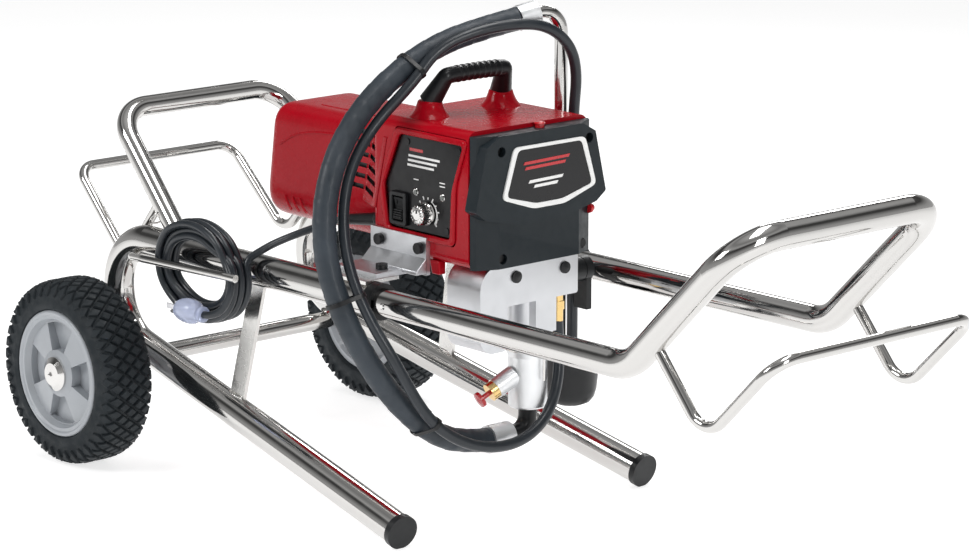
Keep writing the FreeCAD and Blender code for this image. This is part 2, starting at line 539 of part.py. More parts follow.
# ------------------------------------------------------------ machine brackets
SIDE_BOLTS = (402, 472)
brackets = []
bolts = []
for side, hand in ((-1, "left"), (1, "right")):
    reach = size.rail_y - size.case_half - side * size.drive_y
    wall = f"drive_y + {side} * case_half"
    low_y = wall if side > 0 else f"{wall} - bracket_thick"
    flange_y = wall if side > 0 else f"{wall} - {reach - 4}"
    upright = block(f"upright_{hand}", ("bracket_back", low_y, "rail_z + tube_radius + plate_thick"),
                    ("bracket_length", "bracket_thick", "bracket_rise"))
    flange = block(f"flange_{hand}", ("bracket_back", flange_y, "rail_z + tube_radius + plate_thick"),
                   ("bracket_length - 24", f"{reach - 4}", "bracket_thick"))
    base_bolt = ("bolt_x", f"{side} * bolt_y", "rail_z + tube_radius + plate_thick + bracket_thick")
    bolts.append(rod(f"base_bolt_{hand}", "Z", base_bolt, "7", "bolt_head"))
    bore = rod(f"flange_bore_{hand}", "Z", ("bolt_x", f"{side} * bolt_y", "rail_z + tube_radius"),
               "bolt_bore", "40")
    brackets.append(cut(f"bracket_{hand}", fuse(f"bracket_blank_{hand}", upright, flange), bore))
    for x in SIDE_BOLTS:
        start = f"{wall} + {side} * bracket_thick"
        bolts.append(rod(f"side_bolt_{hand}_{x}", "Y" if side > 0 else "-Y", (f"{x}", start, "side_bolt_z"),
                         "6.5", "bolt_head"))
group("mount_brackets", *brackets)
group("bracket_bolts", *bolts)
keep("strain_relief", turned(
    "strain_relief", FreeCAD.Rotation(V(0, 0, 1), V(-1, -0.12, -0.14)), ("case_back", "-72", "338"),
    [(0, 0), (9, 0), (9, 5), (8, 7), (6, 62), (0, 62)]))

# -------------------------------------------------------------- fluid section
upper = padded("block_upper", "YZ_Plane", [(-76, 258), (76, 258), (76, 307), (-76, 307)],
               [0, 3, 3, 26], size.block_back, "block_front - block_back")
lobe = padded("block_lobe", "YZ_Plane", [(-76, 206), (-34, 206), (-34, 262), (-76, 262)],
              [20, 8, 0, 0], size.block_back, "block_front - block_back")
barrel = rod("block_barrel", "Z", ("pump_x", "pump_y", "block_low"), "24", "block_step - block_low + 2")
leg = block("block_leg", ("block_back", "10", "block_low + 6"),
            ("block_front - block_back", "32", "block_step - block_low - 4"))
gland = rod("gland_bore", "Z", ("pump_x", "pump_y", "block_low"), "rod_radius + 0.05", "120")
chamber = rod("chamber_bore", "Z", ("pump_x", "pump_y", "block_low - 5"), "piston_radius", "43")
outlet = rod("outlet_bore", "Y", ("outlet_x", "-80", "outlet_z"), "outlet_radius", "outlet_deep + 4")
return_port = rod("return_port", "Z", ("return_x", "return_y", "250"), "5", "20")
keep("pump_manifold", cut("pump_manifold", fuse("block_blank", upper, lobe, barrel, leg), gland, chamber,
                          outlet, return_port))
for number, (y, z) in enumerate(((-21, 291), (55, 291))):
    front_screws.append(rod(f"block_bolt_{number}", "X", ("block_front", f"{y}", f"{z}"), "7", "2.5"))
group("front_screws", *front_screws)

inlet = [(piston_bore, z) for piston_bore, z in ((13, 196), (13, 212), (26, 212), (26, 193), (23, 186),
                                                 (23, 127), (21, 125), (7, 125), (7, 152), (15, 152),
                                                 (15, 190))]
inlet_body = turned("inlet_body", "Z", ("pump_x", "pump_y", "0"), inlet)
branch_line = FreeCAD.Rotation(V(0, 0, 1), V(-10, -45, -25))
branch_start = ("pump_x - 1.5", "pump_y - 13.5", "168")
branch_body = turned("branch_body", branch_line, branch_start, [(3.1, 7), (12, 7), (12, 35), (3.1, 35)])
branch_hole = turned("branch_hole", branch_line, branch_start, [(0, 0), (3.1, 0), (3.1, 60), (0, 60)])
keep("inlet_housing", cut("inlet_housing", fuse("inlet_blank", inlet_body, branch_body), branch_hole))
keep("pusher_nut", turned("pusher_nut", branch_line, branch_start,
                          [(3.1, 35), (11, 35), (11, 44), (3.1, 44)]))
keep("pusher_button", turned("pusher_button", branch_line, branch_start,
                             [(0, 12), (3, 12), (3, 56), (9.5, 56), (9.5, 60), (0, 62)]))
keep("inlet_ball", turned("inlet_ball", "Z", ("pump_x", "pump_y", "159.9"),
                          [(0, -9.5), (9.5, -9.5), (9.5, 9.5), (0, 9.5)], [0, 9.4, 9.4, 0]))
clip_ring = turned("clip_ring", "Z", ("pump_x", "pump_y", "214"),
                   [(26.1, -20), (29.1, -20), (29.1, -17), (26.1, -17)], 1.4)
clip_legs = [rod(f"clip_leg_{number}", "Z", (f"pump_x + {sign} * 27.6", "pump_y", "160"), "clip_radius", "36")
             for number, sign in ((1, "-1"), (2, "1"))]
keep("inlet_clip", fuse("inlet_clip", clip_ring, *clip_legs))

pump = (size.pump_x, size.pump_y)
elbow_route = [(*pump, size.cup_low), (*pump, size.elbow_z), (size.pump_x, -10, size.elbow_z)]
keep("inlet_elbow", shaped("inlet_elbow", bent_tube(elbow_route, 20, size.elbow_radius, 4)))
valve_body = rod("valve_body", "Y", ("valve_x", "valve_y", "valve_z"), "valve_radius", "valve_length")
keep("prime_valve", fuse("prime_valve", valve_body,
                         rod("valve_stem", "Y", ("valve_x", "lever_y - 11", "valve_z"), "5", "22")))
lever_hub = rod("lever_hub", "Y", ("valve_x", "lever_y", "valve_z"), "15", "11")
lever_arm = block("lever_arm", ("valve_x - lever_width / 2", "lever_y + 2", "valve_z - lever_drop"),
                  ("lever_width", "lever_thick", "lever_drop - 4"))
lever_bore = rod("lever_bore", "Y", ("valve_x", "lever_y - 6", "valve_z"), "5.05", "30")
keep("prime_lever", cut("prime_lever", fuse("lever_blank", lever_hub, lever_arm), lever_bore))
keep("return_fitting", turned("return_fitting", "Z", ("return_x", "return_y", "0"),
                              [(3, size.return_low), (6.5, size.return_low), (6.5, 238), (8, 238),
                               (8, 248), (6.5, 248), (6.5, 258), (5, 258), (5, 266), (3, 266)]))

# ------------------------------------------------------- siphon tube and hoses
siphon_route = [(size.siphon_x, size.siphon_y, 120), (size.siphon_x, size.siphon_y, 583),
                (467, 61, 571)]
SIPHON_BEND = 26
siphon_solid = shaped("siphon_solid", bent_tube(siphon_route, SIPHON_BEND, size.siphon_radius))
keep("siphon_tube", shaped("siphon_tube", bent_tube(siphon_route, SIPHON_BEND, size.siphon_radius, 1.5)))
clip_block = block("clip_block", ("siphon_x - 14", "drive_y + case_half + bracket_thick", "292"),
                   ("14", "10", "16"))
keep("siphon_clip", cut("siphon_clip", clip_block, siphon_solid))
cup_wall = rod("cup_wall", "Z", ("cup_x", "cup_y", "drip_low"), "drip_radius", "drip_height")
cup_rim = rod("cup_rim", "Z", ("cup_x", "cup_y", "drip_low + drip_height - 6"), "drip_radius + 2", "6")
cup_room = rod("cup_room", "Z", ("cup_x", "cup_y", "drip_low + 10"), "drip_radius - 2.5", "120")
cup_bar = block("cup_bar", ("siphon_x - 5", "cup_y - drip_radius + 3", "drip_low + drip_height - 14"),
                ("10", "2 * drip_radius - 6", "6"))
keep("drip_cup", cut("drip_cup", fuse("cup_barred", cut("cup_hollow", fuse("cup_blank", cup_wall, cup_rim),
                                                        cup_room), cup_bar), siphon_solid))

SUCTION = [(525, -38, 95), (524, -76, 99), (521, -116, 115), (512, -154, 148), (498, -188, 196),
           (478, -211, 254), (457, -221, 315), (442, -213, 378), (433, -187, 436), (427, -142, 484),
           (429, -91, 520), (435, -39, 545), (448, 11, 560), (467, 61, 571)]
RETURN = [(538, 60, 224), (541, 60, 190), (550, 50, 152), (560, 24, 118), (564, -16, 98),
          (561, -62, 96), (553, -106, 110), (542, -146, 142), (521, -175, 210), (495, -195, 264),
          (470, -202, 319), (450, -192, 374), (438, -168, 424), (434, -128, 467), (450, -86, 509),
          (456, -52, 548), (475, -4, 566), (495, 54, 570), (505, 84, 560), (505, 112, 535),
          (502, 123, 502), (498, 122, 462), (497, 121, 405), (496, 122, 340), (497, 121, 270),
          (498, 122, 205), (497, 121, 140)]


def cord_tube(name, points, radius):
    """A hose or cord: straight runs joined by arcs as large as the runs allow."""
    path = [V(*point) for point in points]
    radii = [0] * len(path)
    for i in range(1, len(path) - 1):
        before, after = path[i] - path[i - 1], path[i + 1] - path[i]
        turn = before.getAngle(after)
        radii[i] = 0.45 * min(before.Length, after.Length) / math.tan(turn / 2)
    curves = rounded(points, radii)
    length = sum(curve.length() for curve in curves)
    shape = sweep(curves, radius)
    runs = [(path[i + 1] - path[i]).Length for i in range(len(path) - 1)]
    print(name, "arc radii", [round(value) for value in radii[1:-1]])
    print(name, "runs", [round(value) for value in runs], "length", round(length),
          "volume ratio", round(shape.Volume / (math.pi * radius ** 2 * length), 4))
    return keep(name, shaped(name, shape))


cord_tube("suction_hose", SUCTION, size.suction_radius)
cord_tube("return_hose", RETURN, size.return_radius)


def ferrule(name, start, heading, outer, inner, length):
    solid = Part.makeCylinder(outer, length, V(*start), heading)
    return shaped(name, solid.cut(Part.makeCylinder(inner, length, V(*start), heading)))


top_heading = (V(*siphon_route[2]) - V(*siphon_route[1])).normalize()
group("hose_ferrules",
      ferrule("lower_ferrule", (size.pump_x, -38, size.elbow_z), V(0, 1, 0), 16.5, size.elbow_radius, 32),
      ferrule("upper_ferrule", V(*siphon_route[2]) - top_heading * 25, top_heading, 15,
              size.siphon_radius, 25))

ties = []
for number, place in enumerate((2, 5, 10)):
    here, following = V(*SUCTION[place]), V(*SUCTION[place + 1])
    centre = (here + following) * 0.5
    heading = (following - here).normalize()
    tie = Part.makeCylinder(15.3, 7, centre - heading * 3.5, heading)
    tie = tie.cut(Part.makeCylinder(14.1, 9, centre - heading * 4.5, heading))
    ties.append(shaped(f"cable_tie_{number}", tie))
group("cable_ties", *ties)

# ------------------------------------------------------------------ power cord
CORD = [(317, -79.3, 329.5), (303, -84, 325), (288, -102, 317), (274, -126, 308), (268, -148, 301),
        (264, -164, 294), (262, -176, 284)]
cord_tube("power_cord", CORD, size.cord_radius)


def oval(half_x, half_z, name):
    corner = min(half_x, half_z) * 0.98
    corners = [(size.coil_x + sx * half_x, size.coil_z + sz * half_z)
               for sx, sz in ((-1, -1), (1, -1), (1, 1), (-1, 1))]
    return padded(name, "XZ_Plane", corners, corner, -size.coil_in, "coil_in - coil_out")


keep("cord_coil", cut("cord_coil", oval(size.coil_half_x, size.coil_half_z, "coil_outside"),
                      oval(size.coil_half_x - size.coil_band, size.coil_half_z - size.coil_band,
                           "coil_inside")))
plug_body = block("plug_body", ("plug_x", "coil_out - plug_deep", "206"),
                  ("46", "plug_deep", "30"))
prongs = [block(f"prong_{number}", ("plug_x - 19", "coil_out - 18", f"{214 + 12 * number}"),
                ("20", "6", "1.6")) for number in range(2)]
keep("plug", fuse("plug", plug_body, *prongs))

# -------------------------------------------------------------- check and write
doc.recompute()
for thing in doc.Objects:
    if "Invalid" in thing.State or "Error" in thing.State:
        raise SystemExit(f"{thing.Name} failed: {thing.State}")
for name, thing in NODES.items():
    shape = thing.Shape
    if shape.isNull() or not shape.isValid() or not shape.Solids:
        raise SystemExit(f"{name} has no valid shape")
for old in os.listdir("parts"):
    os.remove(os.path.join("parts", old))
whole = FreeCAD.BoundBox()
for name, thing in NODES.items():
    thing.Shape.exportStep(f"parts/{name}.step")
    if name not in ("power_cord", "cord_coil", "plug", "suction_hose", "return_hose", "cable_ties"):
        whole.add(thing.Shape.BoundBox)
print(len(NODES), "nodes; box", whole)
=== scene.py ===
import math

import bmesh
import bpy
from mathutils import Matrix, Vector, noise


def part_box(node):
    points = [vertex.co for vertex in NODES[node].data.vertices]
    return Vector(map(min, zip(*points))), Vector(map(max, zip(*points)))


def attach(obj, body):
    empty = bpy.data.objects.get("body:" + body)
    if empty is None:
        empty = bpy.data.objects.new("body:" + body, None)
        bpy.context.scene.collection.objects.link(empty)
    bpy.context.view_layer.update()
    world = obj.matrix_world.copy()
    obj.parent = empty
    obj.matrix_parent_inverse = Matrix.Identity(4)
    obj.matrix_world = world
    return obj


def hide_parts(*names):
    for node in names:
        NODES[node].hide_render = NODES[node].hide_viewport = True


# The looks of an airless paint sprayer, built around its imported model. Metres.
# +X is forward, toward the telescoping handle, and +Y is the prime valve's side.
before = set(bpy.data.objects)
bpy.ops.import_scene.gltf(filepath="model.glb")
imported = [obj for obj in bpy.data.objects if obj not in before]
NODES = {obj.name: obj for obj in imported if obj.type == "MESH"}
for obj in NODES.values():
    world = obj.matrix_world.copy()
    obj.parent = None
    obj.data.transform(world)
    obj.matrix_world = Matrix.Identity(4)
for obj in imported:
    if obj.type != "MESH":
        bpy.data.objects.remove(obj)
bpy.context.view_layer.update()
AXLE_X = (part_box("axle")[0][0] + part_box("axle")[1][0]) / 2
MM = 0.001


def at(x, y, z):
    """A point from millimetres, with X measured forward from the axle."""
    return Vector((AXLE_X + x * MM, y * MM, z * MM))


# --------------------------------------------------------------------- camera
AZIMUTH = math.radians(48.1)
ELEVATION = math.radians(12.8)
AIM = Vector((-0.1485, 0.142, 0.2274))
CAMERA_DISTANCE = 4.511
LENS_LENGTH = 137
SENSOR_WIDTH = 36
back = Vector((math.sin(AZIMUTH) * math.cos(ELEVATION), -math.cos(AZIMUTH) * math.cos(ELEVATION),
               math.sin(ELEVATION)))
camera_data = bpy.data.cameras.new("camera")
camera_data.lens = LENS_LENGTH
camera_data.sensor_width = SENSOR_WIDTH
camera_data.clip_end = 60
camera = bpy.data.objects.new("camera", camera_data)
bpy.context.scene.collection.objects.link(camera)
camera.location = AIM + back * CAMERA_DISTANCE
camera.rotation_euler = (math.pi / 2 - ELEVATION, 0, AZIMUTH)
bpy.context.scene.camera = camera


# ------------------------------------------------------------------ materials
def new_material(name, colour, metallic=0.0, roughness=0.5):
    """A material with one shader; returns the material, its node tree and the shader."""
    material = bpy.data.materials.new(name)
    material.use_nodes = True
    shader = material.node_tree.nodes["Principled BSDF"]
    shader.inputs["Base Color"].default_value = (*colour, 1)
    shader.inputs["Metallic"].default_value = metallic
    shader.inputs["Roughness"].default_value = roughness
    return material, material.node_tree, shader


def noise_node(tree, scale, detail=4, stretch=None):
    """A 3-D noise on the object's own coordinates, in repeats per metre."""
    coordinates = tree.nodes.new("ShaderNodeTexCoord")
    texture = tree.nodes.new("ShaderNodeTexNoise")
    texture.inputs["Scale"].default_value = scale
    texture.inputs["Detail"].default_value = detail
    source = coordinates.outputs["Object"]
    if stretch:
        mapping = tree.nodes.new("ShaderNodeMapping")
        mapping.inputs["Scale"].default_value = stretch
        tree.links.new(source, mapping.inputs["Vector"])
        source = mapping.outputs["Vector"]
    tree.links.new(source, texture.inputs["Vector"])
    return texture


def vary_roughness(tree, shader, scale, low, high, stretch=None):
    """Spreads the roughness between low and high by a noise."""
    texture = noise_node(tree, scale, 5, stretch)
    spread = tree.nodes.new("ShaderNodeMapRange")
    spread.inputs["From Min"].default_value = 0.35
    spread.inputs["From Max"].default_value = 0.65
    spread.inputs["To Min"].default_value = low
    spread.inputs["To Max"].default_value = high
    tree.links.new(texture.outputs["Fac"], spread.inputs["Value"])
    tree.links.new(spread.outputs["Result"], shader.inputs["Roughness"])


def vary_colour(tree, shader, scale, first, second):
    """Mottles the base colour between two close tones."""
    texture = noise_node(tree, scale, 6)
    ramp = tree.nodes.new("ShaderNodeValToRGB")
    ramp.color_ramp.elements[0].position = 0.35
    ramp.color_ramp.elements[1].position = 0.65
    ramp.color_ramp.elements[0].color = (*first, 1)
    ramp.color_ramp.elements[1].color = (*second, 1)
    tree.links.new(texture.outputs["Fac"], ramp.inputs["Fac"])
    tree.links.new(ramp.outputs["Color"], shader.inputs["Base Color"])


def add_bump(tree, shader, scale, depth, stretch=None):
    """A fine uneven surface, depth metres deep."""
    texture = noise_node(tree, scale, 3, stretch)
    bump = tree.nodes.new("ShaderNodeBump")
    bump.inputs["Distance"].default_value = depth
    bump.inputs["Strength"].default_value = 0.6
    tree.links.new(texture.outputs["Fac"], bump.inputs["Height"])
    tree.links.new(bump.outputs["Normal"], shader.inputs["Normal"])


def metal(name, colour, low, high, bump_scale, bump_depth, stretch=None):
    """A bare metal whose roughness runs from low to high."""
    material, tree, shader = new_material(name, colour, 1.0, low)
    vary_roughness(tree, shader, 60, low, high, stretch)
    add_bump(tree, shader, bump_scale, bump_depth, stretch)
    return material


def paint(name, first, second, roughness, coat, bump_scale, bump_depth, specular=0.5):
    """A painted, moulded or rubber surface between two tones, with a clear coat of the given weight."""
    material, tree, shader = new_material(name, first, 0.0, roughness)
    vary_colour(tree, shader, 14, first, second)
    vary_roughness(tree, shader, 90, roughness * 0.85, roughness * 1.25)
    shader.inputs["Specular IOR Level"].default_value = specular
    shader.inputs["Coat Weight"].default_value = coat
    shader.inputs["Coat Roughness"].default_value = 0.06
    add_bump(tree, shader, bump_scale, bump_depth)
    return material


CHROME = metal("chrome_plate", (0.61, 0.60, 0.585), 0.06, 0.12, 35, 0.00012)
NICKEL = metal("bright_nickel", (0.68, 0.67, 0.655), 0.09, 0.16, 260, 0.00002)
FERRULE = metal("brushed_ferrule", (0.84, 0.85, 0.86), 0.36, 0.5, 300, 0.0001)
STEEL = metal("machined_steel", (0.62, 0.62, 0.64), 0.22, 0.38, 500, 0.0001, (1, 12, 1))
CAST = metal("cast_aluminium", (0.66, 0.67, 0.69), 0.34, 0.46, 900, 0.00015)
SATIN = metal("satin_steel", (0.70, 0.69, 0.67), 0.2, 0.32, 300, 0.0001)
BRASS = metal("machined_brass", (0.80, 0.56, 0.24), 0.16, 0.3, 400, 0.0001)
RED = paint("red_casting_paint", (0.36, 0.002, 0.009), (0.40, 0.003, 0.011),
            0.22, 0.12, 420, 0.00002, 0.12)
RED_SHELL = paint("red_moulded_shell", (0.34, 0.002, 0.009), (0.37, 0.003, 0.011),
                  0.26, 0.08, 700, 0.00002, 0.12)
RED_TRIM = paint("red_trim", (0.52, 0.006, 0.012), (0.56, 0.008, 0.014), 0.25, 0.5, 300, 0.00003)
GREY_RIM = paint("grey_wheel_paint", (0.33, 0.35, 0.375), (0.36, 0.38, 0.405), 0.36, 0.3, 500, 0.0001)
TYRE = paint("tyre_rubber", (0.009, 0.013, 0.016), (0.015, 0.020, 0.024), 0.62, 0.0, 700, 0.0003, 0.3)
# Black moulding for the black parts; the same black also lines the vent slits' walls as painted shade.
BLACK = paint("black_moulding_and_slit_shade", (0.005, 0.0055, 0.0065), (0.008, 0.009, 0.010),
              0.36, 0.1, 1500, 0.00006, 0.3)
COVER = paint("dark_cover_moulding", (0.008, 0.013, 0.017), (0.011, 0.017, 0.021),
              0.42, 0.1, 1700, 0.0001, 0.25)
OVERLAY = paint("panel_overlay", (0.004, 0.004, 0.005), (0.006, 0.006, 0.007),
                0.34, 0.1, 900, 0.00003, 0.25)
BADGE_BLACK = paint("badge_field", (0.003, 0.003, 0.004), (0.005, 0.005, 0.006),
                    0.22, 0.3, 500, 0.00002, 0.25)
WHITE = paint("white_print", (0.86, 0.86, 0.85), (0.90, 0.90, 0.89), 0.4, 0.1, 500, 0.00002)
HOSE = paint("hose_wrap", (0.018, 0.025, 0.033), (0.033, 0.043, 0.055), 0.48, 0.05, 1300, 0.0003, 0.4)
CORD_JACKET = paint("cord_jacket", (0.013, 0.017, 0.022), (0.018, 0.023, 0.029),
                    0.34, 0.15, 500, 0.00005, 0.4)
BOARD = paint("board_green", (0.02, 0.12, 0.05), (0.03, 0.16, 0.07), 0.45, 0.2, 600, 0.0001)
CLEAR, clear_tree, clear_shader = new_material("clear_blue_moulding", (0.62, 0.68, 0.88), 0.0, 0.16)
clear_shader.inputs["Transmission Weight"].default_value = 0.55
clear_shader.inputs["IOR"].default_value = 1.45
add_bump(clear_tree, clear_shader, 220, 0.0003)
LENS, lens_tree, lens_shader = new_material("lens", (0.10, 0.11, 0.10), 0.0, 0.15)
lens_shader.inputs["Coat Weight"].default_value = 0.8
add_bump(lens_tree, lens_shader, 400, 0.00002)

LOOKS = {
    CHROME: "side_tube_left side_tube_right cross_tube rear_hoop cord_hook handle siphon_tube",
    SATIN: "frame_plates",
    NICKEL: "hub_caps snap_button_left snap_button_right pressure_knob inlet_clip",
    FERRULE: "hose_ferrules inlet_housing",
    STEEL: "axle armature drive_pinion drive_gear pump_yoke piston drive_bearings inlet_ball motor_can",
    CAST: "pump_manifold mount_brackets",
    BRASS: "return_fitting pusher_nut",
    RED: "drive_housing",
    RED_SHELL: "motor_shroud",
    RED_TRIM: "oiler_button pusher_button",
    GREY_RIM: "rim_left rim_right",
    TYRE: "tyre_left tyre_right",
    BLACK: "foot_caps rail_bushings carry_grip switch_rocker strain_relief inlet_elbow prime_valve "
           "prime_lever front_screws siphon_clip drip_cup cable_ties bracket_bolts panel_screws",
    COVER: "front_cover",
    BADGE_BLACK: "cover_badge",
    OVERLAY: "control_panel",
    HOSE: "suction_hose return_hose",
    CORD_JACKET: "power_cord cord_coil",
    CLEAR: "plug",
    BOARD: "control_board",
    LENS: "panel_lights",
}
for material, names in LOOKS.items():
    for node in names.split():
        NODES[node].data.materials.clear()
        NODES[node].data.materials.append(material)


# --------------------------------------------------------------- mesh helpers
def soften(thing, width, segments=2, angle=35):
    """Rounds sharp edges with a bevel, so that they catch the light."""
    bevel = thing.modifiers.new("rounded_edges", "BEVEL")
    bevel.width = width
    bevel.segments = segments
    bevel.limit_method = "ANGLE"
    bevel.angle_limit = math.radians(angle)
    bevel.harden_normals = False
    return thing


def smooth_by_angle(thing, degrees=40):
    """Smooth shading, with edges sharper than the angle left crisp."""
    mesh = thing.data
    mesh.shade_smooth()
    mesh.set_sharp_from_angle(angle=math.radians(degrees))


def join_rings(builder, rings):
    """Faces between each ring of corners and the next one."""
    for ring, following in zip(rings, rings[1:]):
        for i in range(len(ring)):
            j = (i + 1) % len(ring)
            builder.faces.new([ring[i], ring[j], following[j], following[i]])


def close_ends(builder, rings):
    """A face over the first ring and one over the last."""
    builder.faces.new(list(reversed(rings[0])))
    builder.faces.new(rings[-1])


def piece(name, builder, material, body, smooth=40, bevel=0):
    """A new mesh object made from a bmesh."""
    mesh = bpy.data.meshes.new(name)
    bmesh.ops.remove_doubles(builder, verts=builder.verts, dist=1e-6)
    bmesh.ops.recalc_face_normals(builder, faces=builder.faces)
    builder.to_mesh(mesh)
    builder.free()
    thing = bpy.data.objects.new(name, mesh)
    bpy.context.scene.collection.objects.link(thing)
    mesh.materials.append(material)
    smooth_by_angle(thing, smooth)
    if bevel:
        soften(thing, bevel)
    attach(thing, body)
    return thing


def frame_of(axis):
    """A rotation that takes Z to the axis."""
    return Vector((0, 0, 1)).rotation_difference(Vector(axis)).to_matrix().to_4x4()


def add_lathe(builder, profile, centre, axis, steps=64, wobble=None):
    """Turns (radius, distance) pairs, in mm, about an axis through centre."""
    matrix = Matrix.Translation(centre) @ frame_of(axis)
    rings = []
    for step in range(steps):
        angle = 2 * math.pi * step / steps
        ring = []
        for radius, along in profile:
            grown = radius + (wobble(angle, along) if wobble and radius > 0 else 0)
            spot = Vector((grown * math.cos(angle), grown * math.sin(angle), along)) * MM
            ring.append(builder.verts.new(matrix @ spot))
        rings.append(ring)
    for step in range(steps):
        ring, following = rings[step], rings[(step + 1) % steps]
        for row in range(len(profile) - 1):
            corners = [ring[row], following[row], following[row + 1], ring[row + 1]]
            if profile[row][0] == 0:
                corners.pop(1)
            elif profile[row + 1][0] == 0:
                corners.pop(2)
            builder.faces.new(corners)


def spot_on(plane, u, v, w):
    """A point from (u, v) on a plane and w along what it faces: Y for XZ, X for YZ, Z for XY."""
    return {"XZ": at(u, w, v), "YZ": at(w, u, v), "XY": at(u, v, w)}[plane]


def add_prism(builder, outline, low, high, plane, inset=0.0):
    """A plate from an outline on a plane, in mm. An inset narrows the high face, for a chamfered edge."""
    middle = Vector((sum(p[0] for p in outline), sum(p[1] for p in outline))) / len(outline)
    top = []
    for u, v in outline:
        away = Vector((u, v)) - middle
        shrunk = middle + away * max(0.0, 1 - inset / max(away.length, 1e-6))
        top.append((shrunk.x, shrunk.y))
    lower = [builder.verts.new(spot_on(plane, u, v, low)) for u, v in outline]
    upper = [builder.verts.new(spot_on(plane, u, v, high)) for u, v in top]
    builder.faces.new(lower)
    builder.faces.new(list(reversed(upper)))
    for i in range(len(outline)):
        j = (i + 1) % len(outline)
        builder.faces.new([lower[i], lower[j], upper[j], upper[i]])


def rounded_outline(corners, radius, steps=5):
    """An outline with its corners rounded, by one radius or by a list with one for each corner."""
    points = []
    count = len(corners)
    radii = radius if isinstance(radius, list) else [radius] * count
    for i in range(count):
        here = Vector(corners[i])
        before = (Vector(corners[i - 1]) - here)
        after = (Vector(corners[(i + 1) % count]) - here)
        reach = min(radii[i], before.length * 0.45, after.length * 0.45)
        first = here + before.normalized() * reach
        last = here + after.normalized() * reach
        for step in range(steps + 1):
            share = step / steps
            points.append(tuple(first * (1 - share) ** 2 + here * 2 * share * (1 - share)
                                + last * share ** 2))
    return points


def add_tube(builder, path, radius_at, sides=20):
    """A tube along path points; radius_at(distance, angle) is in metres."""
    heading = (path[1] - path[0]).normalized()
    normal = heading.orthogonal().normalized()
    distance = 0.0
    rings = []
    for i, spot in enumerate(path):
        ahead = path[min(i + 1, len(path) - 1)] - path[max(i - 1, 0)]
        turn = heading.rotation_difference(ahead.normalized())
        normal = (turn @ normal).normalized()
        heading = ahead.normalized()
        side = heading.cross(normal)
        if i:
            distance += (spot - path[i - 1]).length
        ring = []
        for step in range(sides):
            angle = 2 * math.pi * step / sides
            reach = radius_at(distance, angle)
            ring.append(builder.verts.new(spot + (normal * math.cos(angle) + side * math.sin(angle)) * reach))
        rings.append(ring)
    join_rings(builder, rings)
    close_ends(builder, rings)


def spline_curve(name, points, bevel=0.0):
    """A NURBS curve object through control points, round when it has a bevel."""
    curve = bpy.data.curves.new(name, "CURVE")
    curve.dimensions = "3D"
    curve.resolution_u = 12
    curve.bevel_depth = bevel
    curve.bevel_resolution = 6
    curve.use_fill_caps = True
    spline = curve.splines.new("NURBS")
    spline.points.add(len(points) - 1)
    for control, spot in zip(spline.points, points):
        control.co = (*spot, 1)
    spline.order_u = 3
    spline.use_endpoint_u = True
    thing = bpy.data.objects.new(name, curve)
    bpy.context.scene.collection.objects.link(thing)
    return thing


def spline_path(points, spacing):
    """Evenly spaced points read from the NURBS line through a route's control points."""
    guide = spline_curve("guide", points)
    mesh = bpy.data.meshes.new_from_object(guide)
    line = [vertex.co.copy() for vertex in mesh.vertices]
    bpy.data.objects.remove(guide)
    path = [line[0]]
    carried = 0.0
    for start, end in zip(line, line[1:]):
        length = (end - start).length
        travelled = spacing - carried
        while travelled <= length:
            path.append(start.lerp(end, travelled / length))
            travelled += spacing
        carried = length - (travelled - spacing)
    if (path[-1] - line[-1]).length > spacing * 0.3:
        path.append(line[-1])
    else:
        path[-1] = line[-1]
    return path


def path_length(path):
    """The summed length of the steps along a path."""
    return sum((after - before).length for before, after in zip(path, path[1:]))


# ---------------------------------------------------------------------- hoses
SUCTION = [(525, -38, 95), (524, -76, 99), (521, -116, 115), (512, -154, 148), (498, -188, 196),
           (478, -211, 254), (457, -221, 315), (442, -213, 378), (433, -187, 436), (427, -142, 484),
           (429, -91, 520), (435, -39, 545), (448, 11, 560), (467, 61, 571)]
RETURN = [(538, 60, 224), (541, 60, 190), (550, 50, 152), (560, 24, 118), (564, -16, 98),
          (561, -62, 96), (553, -106, 110), (542, -146, 142), (521, -175, 210), (495, -195, 264),
          (470, -202, 319), (450, -192, 374), (438, -168, 424), (434, -128, 467), (450, -86, 509),
          (456, -52, 548), (475, -4, 566), (495, 54, 570), (505, 84, 560), (505, 112, 535),
          (502, 123, 502), (498, 122, 462), (497, 121, 405), (496, 122, 340), (497, 121, 270),
          (498, 122, 205), (497, 121, 140)]
CORD = [(317, -79.3, 329.5), (303, -84, 325), (288, -102, 317), (274, -126, 308), (268, -148, 301),
        (264, -164, 294), (262, -176, 284)]


WRAP_PITCH = 0.021
WRAP_STEP = 0.0005
WRAP_RADIUS = 0.0134


def wrapped(distance, angle):
    """A hose bound with tape: shallow steps that wind round it, with slack folds."""
    turn = (distance / WRAP_PITCH + angle / (2 * math.pi)) % 1.0
    lap = WRAP_STEP * turn
    fold = 0.0004 * noise.noise(Vector((distance * 60, math.cos(angle) * 1.3, math.sin(angle) * 1.3)))
    return WRAP_RADIUS + lap + fold


suction_path = spline_path([at(*point) for point in SUCTION], 0.0022)
shape = bmesh.new()
add_tube(shape, suction_path, wrapped, 32)
suction = piece("suction_hose_wrapped", shape, HOSE, "cart", 60)
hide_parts("suction_hose")
return_path = spline_path([at(*point) for point in RETURN], 0.003)
shape = bmesh.new()
add_tube(shape, return_path, lambda distance, angle: 0.0065 + 0.00012 * math.sin(3 * angle), 20)
return_hose = piece("return_hose_smooth", shape, CORD_JACKET, "cart", 60)
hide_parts("return_hose")

